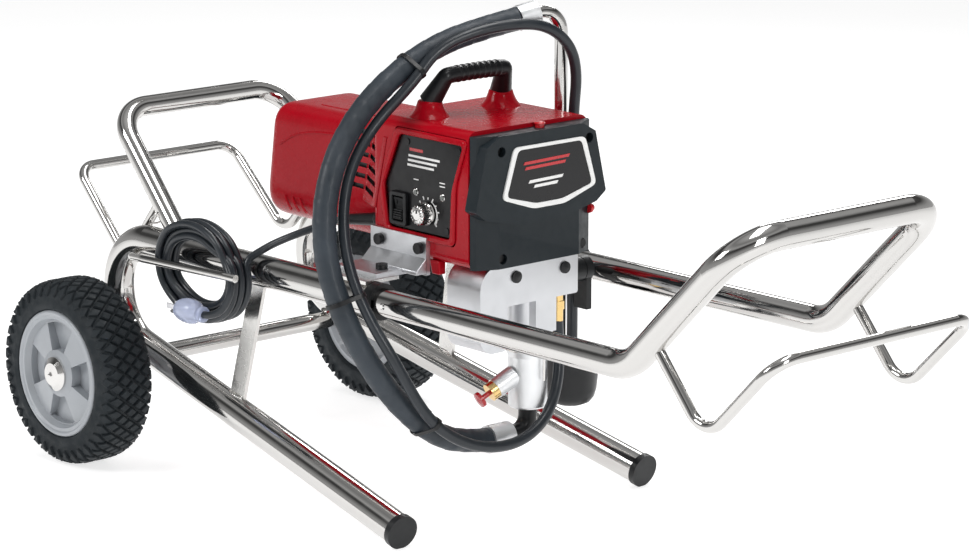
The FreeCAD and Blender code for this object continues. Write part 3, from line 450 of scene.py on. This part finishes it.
# ----------------------------------------------------------------- power cord
COIL_LOW, COIL_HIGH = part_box("cord_coil")
coil_centre = (COIL_LOW + COIL_HIGH) / 2
CORD_RADIUS = 0.0045
TURNS = 7
POINTS_PER_TURN = 14
LAYERS = 3
LAYER_STEP = 9.2 * MM
COIL_MARGIN = 5.2 * MM
COIL_SHEAR = 0.12
COIL_NEAR = -0.1815
COIL_DEPTH = 0.0225
COIL_START = math.radians(22)
# Each turn lies in one of the layers, and wanders a little from the turn before it.
turns = []
for step in range(TURNS * POINTS_PER_TURN + 1):
    loop = step / POINTS_PER_TURN
    angle = COIL_START - 2 * math.pi * loop
    lap = LAYER_STEP * (int(loop) % LAYERS) + 0.8 * MM * math.sin(3.1 * loop)
    spread = 1.6 * MM * math.sin(1.7 * loop)
    across = COIL_HIGH.x - coil_centre.x - COIL_MARGIN - lap + spread
    up = COIL_HIGH.z - coil_centre.z - COIL_MARGIN - lap * 0.9
    depth = COIL_NEAR - COIL_DEPTH * (loop / TURNS) + 0.0012 * math.sin(5 * angle)
    lift = up * math.sin(angle)
    turns.append(Vector((coil_centre.x + 0.92 * across * math.cos(angle) - COIL_SHEAR * lift, depth,
                         coil_centre.z + lift)))
PLUG_LOW, PLUG_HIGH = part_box("plug")
PLUG_MIDDLE = (PLUG_LOW + PLUG_HIGH) / 2
nose = Vector((-1, 0, 0))
body_start = Vector((PLUG_HIGH.x, PLUG_MIDDLE.y, PLUG_MIDDLE.z))
shape = bmesh.new()
add_lathe(shape, [(4.6, 0), (8.5, 0), (9.6, 1.2), (9.6, 6), (8.2, 7.5), (8.2, 10), (11.5, 13), (14, 18),
                  (14.9, 25), (14.6, 33), (13.4, 40), (11.5, 45.2), (9, 46), (0, 46), (0, 10), (4.6, 8),
                  (4.6, 0)], body_start, nose, 48)
plug = piece("plug_moulding", shape, CLEAR, "cart", 50)
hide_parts("plug")
shape = bmesh.new()
front = body_start + nose * 0.046
for side in (-1, 1):
    blade = front + Vector((-0.0085, side * 0.0062, 0.002))
    bmesh.ops.create_cube(shape, size=1, matrix=Matrix.Translation(blade) @ Matrix.Diagonal(
        (0.019, 0.0015, 0.0062, 1)))
add_lathe(shape, [(0, -2), (2.3, -2), (2.3, 16), (1.4, 18.4), (0, 18.6)], front + Vector((0, 0, -0.006)),
          nose, 24)
prongs = piece("plug_prongs", shape, STEEL, "cart", 35, 0.0003)
shape = bmesh.new()
add_lathe(shape, [(0, 12), (4, 12), (5.2, 20), (5.2, 40), (3, 44), (0, 44)], body_start, nose, 24)
plug_core = piece("plug_core", shape, WHITE, "cart", 50)

plug_rear = body_start + nose * 0.004
lead_in = [at(*point) for point in CORD[:-1]]
lead_out = [plug_rear + Vector(step) for step in ((0.042, 0.014, 0.040), (0.034, 0.008, 0.012),
                                                   (0.016, 0.001, 0), (0, 0, 0))]
cord_route = lead_in + turns + lead_out
power_cord = spline_curve("power_cord_line", cord_route, CORD_RADIUS)
power_cord.data.materials.append(CORD_JACKET)
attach(power_cord, "cart")
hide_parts("power_cord", "cord_coil")
cord_length = path_length(spline_path(cord_route, 0.004))

# --------------------------------------------------------------------- wheels
CROWN_RADIUS = 110.0
CROWN_HALF = 21.5
SHOULDER = 10.0
LUGS_ROUND = 42
LUG_ROWS = 3
ROW_PITCH = 11.0
LUG_LAYERS = ((-1.0, 0.86), (2.6, 0.77), (4.2, 0.62))     # (lift, share of the pitch), from the carcass out
wheel_centres = {}
for hand in ("left", "right"):
    low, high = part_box(f"tyre_{hand}")
    wheel_centres[hand] = (low + high) / 2


def tread_spot(across, lift):
    """(radius, along) on the tyre for a distance across the tread, lifted off the carcass, in mm."""
    side = math.copysign(1, across)
    past = abs(across) - CROWN_HALF
    if past <= 0:
        return CROWN_RADIUS + lift, across
    turn = min(past / SHOULDER, math.pi / 2)
    down = max(0.0, past - SHOULDER * math.pi / 2)
    reach = SHOULDER + lift * 0.8
    return (CROWN_RADIUS - SHOULDER + reach * math.cos(turn) - down,
            side * (CROWN_HALF + reach * math.sin(turn)))


def add_lug(builder, centre, angle, across):
    """A diamond tread block: a base sunk in the carcass and a smaller flat top."""
    layers = []
    for lift, share in LUG_LAYERS:
        corners = []
        for turn, step in ((-1, 0), (0, -1), (1, 0), (0, 1)):
            spin = angle + turn * share * math.pi / LUGS_ROUND
            radius, along = tread_spot(across + step * share * ROW_PITCH, lift)
            corners.append(builder.verts.new(centre + Vector(
                (radius * math.cos(spin), along, radius * math.sin(spin))) * MM))
        layers.append(corners)
    join_rings(builder, layers)
    builder.faces.new(layers[-1])
    builder.faces.new(list(reversed(layers[0])))


for hand in ("left", "right"):
    centre = wheel_centres[hand]
    shape = bmesh.new()
    outline = [(77, -29), (80, -33), (86, -34.2), (90, -32.6), (98, -31.6)]
    outline += [tread_spot(-CROWN_HALF - SHOULDER * turn, 0) for turn in (1.4, 1.0, 0.6, 0.25)]
    outline += [tread_spot(across, 0) for across in (-CROWN_HALF, -8, 8, CROWN_HALF)]
    outline += [(radius, -along) for radius, along in reversed(outline[:9])]
    add_lathe(shape, outline + [(76.2, 27), (76.2, -27), outline[0]], centre, (0, 1, 0), 132)
    for row in range(-LUG_ROWS, LUG_ROWS + 1):
        for lug in range(LUGS_ROUND):
            turn = 2 * math.pi * (lug + 0.5 * (row % 2)) / LUGS_ROUND
            add_lug(shape, centre, turn, row * ROW_PITCH)
    tyre = piece(f"tyre_tread_{hand}", shape, TYRE, f"wheel_{hand}", 35)
    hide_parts(f"tyre_{hand}")
    outward = -1 if hand == "left" else 1
    shape = bmesh.new()
    face = centre + Vector((0, outward * 0.0308, 0))
    add_lathe(shape, [(70.5, 0), (73.5, 2.6), (76, 3.0), (78, 1.4), (78.4, -1.5), (70.5, -1.5), (70.5, 0)],
              face, (0, outward, 0), 96)
    add_lathe(shape, [(18, -1.5), (18, 1.2), (20, 2.2), (23, 1.8), (25.5, -1.5), (18, -1.5)], face,
              (0, outward, 0), 64)
    piece(f"rim_lip_{hand}", shape, GREY_RIM, f"wheel_{hand}", 50)

# --------------------------------------------------------------- motor shroud
DRIVE_Y = 4
MOTOR_Z = 384


def carve(thing, cutters):
    """Cuts pieces out of an object and throws the cutters away; the cut walls take the cutters' material."""
    for cutter in cutters:
        cutting = thing.modifiers.new("cut", "BOOLEAN")
        cutting.object = cutter
        cutting.solver = "EXACT"
        cutting.material_mode = "TRANSFER"
    bpy.context.view_layer.update()
    evaluated = thing.evaluated_get(bpy.context.evaluated_depsgraph_get())
    carved = bpy.data.meshes.new_from_object(evaluated)
    thing.modifiers.clear()
    thing.data = carved
    for cutter in cutters:
        bpy.data.objects.remove(cutter)


def cutter_box(low, high, material, lean=0.0):
    """A box from corners in mm, its front end lifted by lean."""
    mesh = bpy.data.meshes.new("cutter")
    builder = bmesh.new()
    corners = []
    for x in (low[0], high[0]):
        rise = lean if x == high[0] else 0
        for y in (low[1], high[1]):
            for z in (low[2], high[2]):
                corners.append(builder.verts.new(at(x, y, z + rise)))
    for face in ((0, 1, 3, 2), (4, 6, 7, 5), (0, 4, 5, 1), (2, 3, 7, 6), (0, 2, 6, 4), (1, 5, 7, 3)):
        builder.faces.new([corners[i] for i in face])
    bmesh.ops.recalc_face_normals(builder, faces=builder.faces)
    builder.to_mesh(mesh)
    builder.free()
    thing = bpy.data.objects.new("cutter", mesh)
    bpy.context.scene.collection.objects.link(thing)
    mesh.materials.append(material)
    return thing


SHROUD_BACK = 140
SHROUD_FRONT = 378
SHROUD_HALF = 66
SHROUD_LOW = 303
SHROUD_TOP = 447
REAR_ROUNDING = 18
REAR_LEAN = 22
LEAN_LENGTH = 110
shape = bmesh.new()
sections = [(SHROUD_BACK + step, REAR_ROUNDING - math.sqrt(REAR_ROUNDING ** 2 - (REAR_ROUNDING - step) ** 2))
            for step in (0, 0.4, 1.2, 2.5, 4.5, 7, 10, 14, REAR_ROUNDING)]
sections += [(x, 0) for x in (180, 210, 250, 300, 350, SHROUD_FRONT)]
rings = []
for x, inset in sections:
    half = SHROUD_HALF - 0.8 * inset
    low, high = SHROUD_LOW + 0.8 * inset, SHROUD_TOP - 0.9 * inset
    outline = rounded_outline([(-half, low), (half, low), (half, high), (-half, high)],
                              [46 - inset, 46 - inset, 26 - 0.4 * inset, 26 - 0.4 * inset], 8)
    share = max(0.0, 1 - (x - SHROUD_BACK) / LEAN_LENGTH)
    rings.append([shape.verts.new(at(x + REAR_LEAN * share * (z - SHROUD_LOW) / (SHROUD_TOP - SHROUD_LOW),
                                     DRIVE_Y + y, z)) for y, z in outline])
join_rings(shape, rings)
close_ends(shape, rings)
shroud = piece("shroud_shell", shape, RED_SHELL, "cart", 30)
FLARE_LOW = 352
FLARE_TOP = 446
FLARE_LEAN = 0.24
CASE_HALF = 92
SLIT_ROWS = 6
SLIT_HEIGHT = 5.5
SLIT_PITCH = 13


def side_slits(side, back, front, shallow, deep):
    """Black cutters for the slits on one side, stepping back row by row as they go down; the black they leave
    on the slit walls is painted shade.
    """
    near, far = sorted((DRIVE_Y + side * shallow, DRIVE_Y + side * deep))
    slits = []
    for row in range(SLIT_ROWS):
        level = FLARE_TOP - 9 - SLIT_PITCH * row
        shift = FLARE_LEAN * (level - FLARE_LOW)
        slits.append(cutter_box((back + shift, near, level - SLIT_HEIGHT), (front + shift, far, level),
                                BLACK, -1.5))
    return slits


# Vent slits in the shroud's rear and sides: the black cutters leave black moulding on the slit walls, painted
# shade where the openings are dark.
cutters = []
for row in range(SLIT_ROWS):
    level = MOTOR_Z - 31 + 12 * row
    cutters.append(cutter_box((SHROUD_BACK - 5, DRIVE_Y - 30, level - 5),
                              (SHROUD_BACK + 30, DRIVE_Y + 30, level), BLACK))
for side in (-1, 1):
    cutters += side_slits(side, 306, 345, SHROUD_HALF - 4, SHROUD_HALF + 4)
carve(shroud, cutters)
smooth_by_angle(shroud, 30)
soften(shroud, 0.0007, 2, 40)
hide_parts("motor_shroud")

# The shroud flares out to the wider casing on both sides, and the flare is slit for air.
for side in (-1, 1):
    wall = DRIVE_Y + side * CASE_HALF
    inner = DRIVE_Y + side * (SHROUD_HALF - 3)
    shape = bmesh.new()
    line = [(326, inner), (334, inner + side * 4.5), (374, wall - side * 3), (380, wall + side * 0.6),
            (386, wall + side * 0.9), (386, wall - side * 2), (376, inner)]
    rings = []
    for z in (FLARE_LOW, FLARE_LOW + 4, FLARE_TOP - 5, FLARE_TOP):
        squeeze = 0.82 if z in (FLARE_LOW, FLARE_TOP) else 1
        shift = FLARE_LEAN * (z - FLARE_LOW)
        rings.append([shape.verts.new(at(x + shift, inner + (y - inner) * squeeze, z)) for x, y in line])
    join_rings(shape, rings)
    close_ends(shape, rings)
    flare = piece(f"shroud_flare_{side + 2}", shape, RED_SHELL, "cart", 30)
    # The flare's slits take the black cutters' material on their walls: painted shade in the openings.
    carve(flare, side_slits(side, 335, 373, SHROUD_HALF - 1, CASE_HALF + 4))
    smooth_by_angle(flare, 30)
    soften(flare, 0.0008, 2, 40)


def side_bead(name, points, radius, material, squash=0.5):
    """A low raised line along points, flattened toward the side that it lies on."""
    shape = bmesh.new()
    add_tube(shape, spline_path(points, 0.003), lambda distance, angle: radius * (
        1 - (1 - squash) * abs(math.sin(angle))), 10)
    return piece(name, shape, material, "cart", 60)


side_y = DRIVE_Y - SHROUD_HALF
side_bead("shroud_sweep", [at(178, side_y, 398), at(200, side_y, 412), at(232, side_y, 420),
                           at(270, side_y, 424), at(312, side_y, 426)], 0.0016, RED_SHELL)
for number, x in enumerate((186, 200, 214)):
    side_bead(f"shroud_rib_{number}", [at(x, side_y, 336), at(x + 5, side_y, 326), at(x + 13, side_y, 320)],
              0.0014, RED_SHELL)
shape = bmesh.new()
add_prism(shape, rounded_outline([(210, -30), (330, -30), (330, 38), (210, 38)], 10), SHROUD_TOP - 1,
          SHROUD_TOP + 0.8, "XY", 1.2)
piece("shroud_top_pad", shape, RED_SHELL, "cart", 40, 0.0004)

# --------------------------------------------------------- drive housing trim
PANEL_OUTLINE = [(432, 448), (540, 448), (520, 393), (517, 339), (413, 339), (404, 388)]
PANEL_MIDDLE = Vector((470, 393))


def grown(outline, middle, amount):
    """An outline with each corner moved out by the amount, across and up."""
    points = []
    for point in outline:
        away = Vector(point) - middle
        step = Vector((math.copysign(amount, away.x), math.copysign(amount, away.y)))
        points.append(tuple(Vector(point) + step))
    return points


def add_frame(builder, outer, inner, low, high, plane):
    """A flat frame between two outlines with the same number of points, in mm."""
    loops = []
    for outline, level in ((outer, low), (outer, high), (inner, high), (inner, low)):
        loops.append([builder.verts.new(spot_on(plane, u, v, level)) for u, v in outline])
    join_rings(builder, loops + loops[:1])


shape = bmesh.new()
add_frame(shape, rounded_outline(grown(PANEL_OUTLINE, PANEL_MIDDLE, 8.5), 9),
          rounded_outline(grown(PANEL_OUTLINE, PANEL_MIDDLE, 1.2), 6), -86, -91.5, "XZ")
piece("panel_surround", shape, RED, "cart", 35, 0.0022)
shape = bmesh.new()
for near, far in ((-87.5, -77), (85, 95.5)):
    add_prism(shape, [(484, 293), (497, 293), (497, 309), (480, 309)], near, far, "XZ")
piece("housing_feet", shape, RED, "cart", 35, 0.0015)
shape = bmesh.new()
for side in (-1, 1):
    add_lathe(shape, [(27, -3), (24.5, 0.5), (22, 2.5), (19.5, 5.5), (17.2, 9.5), (15.4, 14), (14, 18.5),
                      (12.5, 19.5), (0, 19.5)], at(440, DRIVE_Y + side * 55, 465.5), (0, 0, 1), 48)
piece("grip_stub_flares", shape, RED, "cart", 50)
for node, width in (("drive_housing", 0.0016), ("front_cover", 0.0016), ("pump_manifold", 0.0012),
                    ("mount_brackets", 0.0012), ("control_panel", 0.0005), ("bracket_bolts", 0.0008),
                    ("front_screws", 0.0006), ("prime_lever", 0.0012), ("prime_valve", 0.001),
                    ("inlet_housing", 0.0008), ("pusher_nut", 0.0006), ("return_fitting", 0.0005),
                    ("foot_caps", 0.0012), ("rail_bushings", 0.0008), ("frame_plates", 0.0006),
                    ("siphon_clip", 0.0008), ("hub_caps", 0.0006),
                    ("rim_left", 0.0010), ("rim_right", 0.0010), ("hose_ferrules", 0.0004),
                    ("oiler_button", 0.0008), ("switch_rocker", 0.0004), ("strain_relief", 0.0006),
                    ("panel_lights", 0.0006), ("snap_button_left", 0.0004), ("snap_button_right", 0.0004)):
    soften(NODES[node], width)

# ----------------------------------------------------------------- carry grip
GRIP_FOOT = Vector((440, 55, 483))
GRIP_CORNER = Vector((457, 45, 513.5))
half = [GRIP_FOOT.lerp(GRIP_CORNER, share) for share in (0, 0.3, 0.6, 0.85, 1)]
half += [Vector((457, 41, 514)), Vector((457, 34, 514.4)), Vector((457, 15, 514.8))]
grip_route = [at(spot.x, DRIVE_Y - spot.y, spot.z) for spot in half]
grip_route += [at(spot.x, DRIVE_Y + spot.y, spot.z) for spot in reversed(half)]
grip_path = spline_path(grip_route, 0.0011)
GRIP_LENGTH = path_length(grip_path)


GRIP_THICK = 0.0096
FOOT_GAIN = 0.0034
FOOT_REACH = 0.036
RIBBED_HALF = 0.034
RIB_PITCH = 0.0085
RIB_HEIGHT = 0.0006


def grip_radius_at(distance, angle):
    """Fat at both feet, ribbed along the middle, and the same all round."""
    foot = max(0.0, 1 - min(distance, GRIP_LENGTH - distance) / FOOT_REACH)
    middle = abs(distance - GRIP_LENGTH / 2) < RIBBED_HALF
    rib = RIB_HEIGHT * max(0.0, math.sin(distance * 2 * math.pi / RIB_PITCH)) if middle else 0
    return GRIP_THICK + FOOT_GAIN * foot + rib


shape = bmesh.new()
add_tube(shape, grip_path, grip_radius_at, 28)
grip = piece("carry_grip_ribbed", shape, BLACK, "cart", 60)
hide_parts("carry_grip")

# -------------------------------------------------------------- control panel
KNOB = at(476, -87, 362)
shape = bmesh.new()


def flutes(angle, along):
    """Sixteen ridges round the knob's side."""
    return 0.85 * math.cos(angle * 16) if 4.5 < along < 15.5 else 0


add_lathe(shape, [(0, 0.2), (13.4, 0.2), (13.4, 3.2), (12.4, 4), (11.3, 4.6), (11.3, 8), (11.2, 12),
                  (10.8, 15), (9.2, 16.6), (6.5, 17.2), (5.6, 16.4), (0, 16.2)],
          KNOB, (0, -1, 0), 192, flutes)
knob = piece("pressure_knob_fluted", shape, NICKEL, "pressure_dial", 30)
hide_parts("pressure_knob")
shape = bmesh.new()
add_prism(shape, [(475.2, 364), (476.8, 364), (476.8, 372), (475.2, 372)], -103.9, -103.2, "XZ")
piece("pressure_knob_line", shape, BLACK, "pressure_dial")
shape = bmesh.new()
FACE_Y = -86
MARK_DEEP = 0.35
DIAL = Vector((476, 362))
DIAL_TICKS = 10
ARC_STEPS = 18
ARC_SHARE = 0.42
ARC_RADIUS = 15.2
SCALE_FROM = math.radians(-40)
SCALE_TO = math.radians(215)
for step in range(DIAL_TICKS + 1):
    angle = SCALE_FROM + (SCALE_TO - SCALE_FROM) * step / DIAL_TICKS
    length = 4.2 if step % 2 == 0 else 2.6
    side = Vector((-math.sin(angle), math.cos(angle)))
    line = Vector((math.cos(angle), math.sin(angle)))
    inner = DIAL + line * 16.2
    outer = inner + line * length
    half = side * 0.85
    add_prism(shape, [tuple(inner - half), tuple(outer - half), tuple(outer + half), tuple(inner + half)],
              FACE_Y, FACE_Y - MARK_DEEP, "XZ")
# An arc round the dial, thinning out as the pressure falls.
arc_outer = []
arc_inner = []
for step in range(ARC_STEPS + 1):
    angle = SCALE_FROM + (SCALE_TO - SCALE_FROM) * ARC_SHARE * step / ARC_STEPS
    width = 0.8 + 2.4 * (1 - step / ARC_STEPS)
    ray = Vector((math.cos(angle), math.sin(angle)))
    arc_inner.append(tuple(DIAL + ray * ARC_RADIUS))
    arc_outer.append(tuple(DIAL + ray * (ARC_RADIUS + width)))
for i in range(ARC_STEPS):
    add_prism(shape, [arc_inner[i], arc_outer[i], arc_outer[i + 1], arc_inner[i + 1]],
              FACE_Y, FACE_Y - MARK_DEEP, "XZ")
for x, z, width, height in ((443, 424, 54, 2.6), (442, 418.5, 50, 2.6), (441, 413, 46, 2.6),
                            (452, 398, 8, 1.3), (497, 400, 9, 1.3), (497, 396, 9, 1.3)):
    add_prism(shape, [(x, z), (x + width, z), (x + width, z + height), (x, z + height)],
              FACE_Y, FACE_Y - 0.3, "XZ")
piece("panel_marks", shape, WHITE, "cart")
shape = bmesh.new()
add_prism(shape, [(445, 431), (468, 431), (468, 434.5), (445, 434.5)], FACE_Y, FACE_Y - 0.3, "XZ")
piece("panel_red_mark", shape, RED_TRIM, "cart")
shape = bmesh.new()
for x, z in ((456, 384), (502, 384)):
    add_lathe(shape, [(2.7, 0), (2.7, 1.1), (3.6, 1.3), (4.3, 0.8), (4.4, 0), (2.7, 0)], at(x, FACE_Y, z),
              (0, -1, 0), 32)
piece("light_bezels", shape, NICKEL, "cart", 40)
shape = bmesh.new()
add_frame(shape, rounded_outline([(413.5, 341.5), (442.5, 341.5), (442.5, 380.5), (413.5, 380.5)], 4),
          rounded_outline([(418.4, 346.4), (437.6, 346.4), (437.6, 375.6), (418.4, 375.6)], 1.5),
          FACE_Y + 0.5, FACE_Y - 5, "XZ")
piece("switch_bezel", shape, BLACK, "cart", 35, 0.001)
shape = bmesh.new()
for number in range(4):
    z = 350.6 + 2.6 * number
    add_prism(shape, [(421, z), (435, z), (435, z + 1.2), (421, z + 1.2)], -87, -91.6 + 0.42 * number, "XZ")
add_prism(shape, [(424, 366), (425.1, 366), (425.1, 371.5), (424, 371.5)], -87, -89.4, "XZ")
piece("switch_ribs", shape, BLACK, "power_switch", 35, 0.0002)

# ------------------------------------------------------------ cover and badge
BADGE = [(-40, 446), (70, 446), (88, 388), (38, 372), (-10, 372), (-58, 388)]
BADGE_MIDDLE = Vector((15, 410))


def shrunk(outline, middle, amount):
    """An outline with each corner moved toward the middle."""
    points = []
    for point in outline:
        away = Vector(point) - middle
        points.append(tuple(middle + away * (1 - amount / away.length)))
    return points


shape = bmesh.new()
add_frame(shape, rounded_outline(BADGE, 7), rounded_outline(shrunk(BADGE, BADGE_MIDDLE, 7), 6),
          570.5, 573.2, "YZ")
piece("badge_border", shape, WHITE, "cart", 35, 0.0005)
shape = bmesh.new()
add_prism(shape, rounded_outline(shrunk(BADGE, BADGE_MIDDLE, 6.5), 6), 570.5, 572.2, "YZ")
badge = piece("badge_field", shape, BADGE_BLACK, "cart", 35)
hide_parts("cover_badge")
for name, material, bars in (("badge_red_bars", RED_TRIM, ((-26, 424, 70), (-24, 418, 62))),
                             ("badge_white_bars", WHITE, ((-18, 402, 52), (-10, 396, 36)))):
    shape = bmesh.new()
    for y, z, width in bars:
        rise = 0.02 * width
        add_prism(shape, [(y, z), (y + width, z + rise), (y + width + 2, z + rise + 3.4), (y + 2, z + 3.4)],
                  571.8, 572.7, "YZ")
    piece(name, shape, material, "cart", 35)
shape = bmesh.new()
add_lathe(shape, [(0, 4.5), (3.6, 4.2), (4.4, 3), (4.4, 0), (6, 0), (6, -3), (0, -3)],
          at(559, 91, 357), (0, 1, 0), 32)
piece("side_plug", shape, RED_TRIM, "cart", 40)
shape = bmesh.new()
add_lathe(shape, [(0, 2.6), (5.2, 2.2), (6.6, 1.3), (6.6, 0.2), (0, 0.2)], at(556, 14, 465), (0, 0, 1), 40)
piece("oiler_cap", shape, RED_TRIM, "oiler", 40)

# ------------------------------------------------------------------ fluid end
shape = bmesh.new()
for y, z in ((-21, 291), (55, 291)):
    add_lathe(shape, [(0, 2.8), (5.5, 2.6), (7, 1.6), (7.3, 0), (0, 0)], at(555, y, z), (1, 0, 0), 40)
piece("block_bolt_caps", shape, BLACK, "cart", 40)
shape = bmesh.new()
add_lathe(shape, [(4.2, 0.2), (4.2, 0.9), (7.6, 0.9), (8.4, 0.2), (4.2, 0.2)],
          at(512, -62, 300), (0, -0.7, 0.7), 32)
piece("block_port_ring", shape, CAST, "cart", 40)
shape = bmesh.new()
for level, reach in ((210, 25.4), (205.5, 26.6), (201, 26.6)):
    add_lathe(shape, [(reach - 1.6, level - 1.6), (reach, level - 0.8), (reach, level + 0.8),
                      (reach - 1.6, level + 1.6), (reach - 1.6, level - 1.6)], at(525, 25, 0), (0, 0, 1), 64)
piece("collar_threads", shape, STEEL, "cart", 40)
BRACKET_BACK = 384
BRACKET_FRONT = 482
for side, y_wall in ((-1, -88), (1, 96)):
    wall = y_wall + side * 6
    shape = bmesh.new()
    add_prism(shape, [(wall - side * 2, 293), (wall + side * 15, 293), (wall + side * 15, 297),
                      (wall, 311), (wall - side * 2, 311)], BRACKET_BACK, BRACKET_FRONT, "YZ")
    piece(f"bracket_fold_{side + 2}", shape, CAST, "cart", 35, 0.0012)
shape = bmesh.new()
for x in (402, 472):
    add_lathe(shape, [(0, 2.4), (3.0, 2.4), (3.0, 6.3), (5.9, 6.3), (6.7, 5.6), (6.7, 0), (0, 0)],
              at(x, -94, 322), (0, -1, 0), 48)
piece("socket_heads", shape, BLACK, "cart", 40)

shape = bmesh.new()
add_lathe(shape, [(0, 104), (16, 105), (24, 108.5), (29, 115), (31.5, 124), (36, 163), (38, 166), (38, 173),
                  (34.5, 173), (33.5, 166), (29.5, 126), (26, 118), (20, 114.5), (0, 114)],
          at(494, 122, 0), (0, 0, 1), 72)
add_prism(shape, [(477, 91), (487, 91), (487, 153), (477, 153)], 159, 165, "XY")
cup = piece("drip_bowl", shape, BLACK, "cart", 50, 0.0006)
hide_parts("drip_cup")

# ----------------------------------------------------------------- cable ties
THICK_HOSE = 0.0145
THIN_HOSE = 0.0068
BELT_STEPS = 48
BELT_HALF = 0.0026
BELT_THICK = 0.0012
HEAD_OFFSET = 0.0165
HEAD_SIZE = (0.0075, 0.0065, 0.0045)
for number, share in enumerate((0.14, 0.376, 0.80)):
    index = round(share * (len(suction_path) - 1))
    centre = suction_path[index]
    heading = (suction_path[index + 1] - suction_path[index - 1]).normalized()
    other = min(return_path, key=lambda spot: (spot - centre).length)
    gap = other - centre
    gap -= heading * gap.dot(heading)
    across = gap.normalized()
    up = heading.cross(across)
    belt = []
    for step in range(BELT_STEPS):
        angle = 2 * math.pi * step / BELT_STEPS
        ray = across * math.cos(angle) + up * math.sin(angle)
        thin_wins = gap.dot(ray) + THIN_HOSE > THICK_HOSE
        belt.append((centre + gap + ray * THIN_HOSE if thin_wins else centre + ray * THICK_HOSE, ray))
    shape = bmesh.new()
    loops = []
    for along, lift in ((-BELT_HALF, 0), (-BELT_HALF, BELT_THICK), (BELT_HALF, BELT_THICK), (BELT_HALF, 0)):
        loops.append([shape.verts.new(spot + ray * lift + heading * along) for spot, ray in belt])
    join_rings(shape, loops + loops[:1])
    matrix = Matrix((across, heading, up)).transposed().to_4x4()
    matrix.translation = centre + up * HEAD_OFFSET
    bmesh.ops.create_cube(shape, size=1, matrix=matrix @ Matrix.Diagonal((*HEAD_SIZE, 1)))
    tie = piece(f"hose_tie_{number}", shape, BLACK, "cart", 35, 0.0003)
    if number == 0:
        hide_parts("cable_ties")

# ----------------------------------------------------------------- weld beads
BEAD_STEPS = 72
BEAD_RADIUS = 0.0013
RIPPLE = 0.0003


def weld(name, centre, axis, radius, squash=1.0):
    """A rippled bead round a joint."""
    turn = frame_of(axis)
    path = []
    for step in range(BEAD_STEPS + 1):
        angle = 2 * math.pi * step / BEAD_STEPS
        offset = Vector((radius * math.cos(angle), radius * squash * math.sin(angle), 0)) * MM
        path.append(Vector(centre) + turn @ offset)
    shape = bmesh.new()
    add_tube(shape, path, lambda distance, angle: BEAD_RADIUS + RIPPLE * math.sin(distance * 1900), 8)
    return piece(name, shape, CHROME, "cart", 60)


for side in (-1, 1):
    weld(f"weld_strut_foot_{side + 2}", at(219, side * 166.5, 112), (0.20, 0, 1), 12.5, 0.35)
    weld(f"weld_hoop_{side + 2}", at(40, side * 139.5, 298), (-0.7, 0, 0.7), 14.2)
shape = bmesh.new()
add_lathe(shape, [(0, 4.4), (2, 4), (3.5, 2.6), (4.2, 0), (0, 0)], at(455, -158, 248.5), (0, -0.3, -1), 24)
piece("rail_end_screw", shape, NICKEL, "cart", 50)

# --------------------------------------------------------------------- studio
def softbox(name, place, target, width, height, power):
    """A rectangular light that faces the target."""
    light = bpy.data.lights.new(name, "AREA")
    light.shape = "RECTANGLE"
    light.size = width
    light.size_y = height
    light.energy = power
    thing = bpy.data.objects.new(name, light)
    bpy.context.scene.collection.objects.link(thing)
    thing.location = place
    thing.rotation_euler = (Vector(target) - Vector(place)).to_track_quat("-Z", "Y").to_euler()


softbox("key", (-1.0, -2.6, 2.2), (0, 0, 0.25), 1.3, 1.0, 42)
softbox("front", (2.9, -0.6, 1.5), (0, 0, 0.25), 0.7, 1.4, 24)
softbox("top", (0.2, 0.2, 2.7), (0, 0, 0.2), 2.4, 0.7, 34)
softbox("rear", (-1.6, 2.4, 1.9), (0, 0, 0.3), 1.4, 0.6, 20)

floor_mesh = bpy.data.meshes.new("floor")
floor_builder = bmesh.new()
bmesh.ops.create_grid(floor_builder, x_segments=2, y_segments=2, size=30)
floor_builder.to_mesh(floor_mesh)
floor_builder.free()
floor = bpy.data.objects.new("floor", floor_mesh)
bpy.context.scene.collection.objects.link(floor)
floor.location.z = -0.0005
floor_material, _, floor_shader = new_material("studio_floor", (0.60, 0.60, 0.60), 0.0, 0.8)
floor_shader.inputs["Emission Color"].default_value = (1, 1, 1, 1)
floor_shader.inputs["Emission Strength"].default_value = 0.72
floor_mesh.materials.append(floor_material)

world = bpy.data.worlds.new("studio")
bpy.context.scene.world = world
world.use_nodes = True
sky = world.node_tree
background = sky.nodes["Background"]
direction = sky.nodes.new("ShaderNodeTexCoord")
height = sky.nodes.new("ShaderNodeSeparateXYZ")
bands = sky.nodes.new("ShaderNodeValToRGB")
stops = [(0.0, 0.6), (0.50, 0.75), (0.60, 0.62), (0.68, 0.36), (0.74, 0.10), (0.79, 0.10),
         (0.84, 0.75), (0.91, 0.40), (1.0, 0.9)]
ramp = bands.color_ramp
while len(ramp.elements) < len(stops):
    ramp.elements.new(0.5)
for element, (place, level) in zip(ramp.elements, stops):
    element.position = place
    element.color = (level, level, level, 1)
lift = sky.nodes.new("ShaderNodeMath")
lift.operation = "MULTIPLY_ADD"
lift.inputs[1].default_value = 0.5
lift.inputs[2].default_value = 0.5
sky.links.new(direction.outputs["Generated"], height.inputs["Vector"])
sky.links.new(height.outputs["Z"], lift.inputs[0])
sky.links.new(lift.outputs["Value"], bands.inputs["Fac"])
sky.links.new(bands.outputs["Color"], background.inputs["Color"])
background.inputs["Strength"].default_value = 0.6
bpy.context.scene.view_settings.view_transform = "Standard"
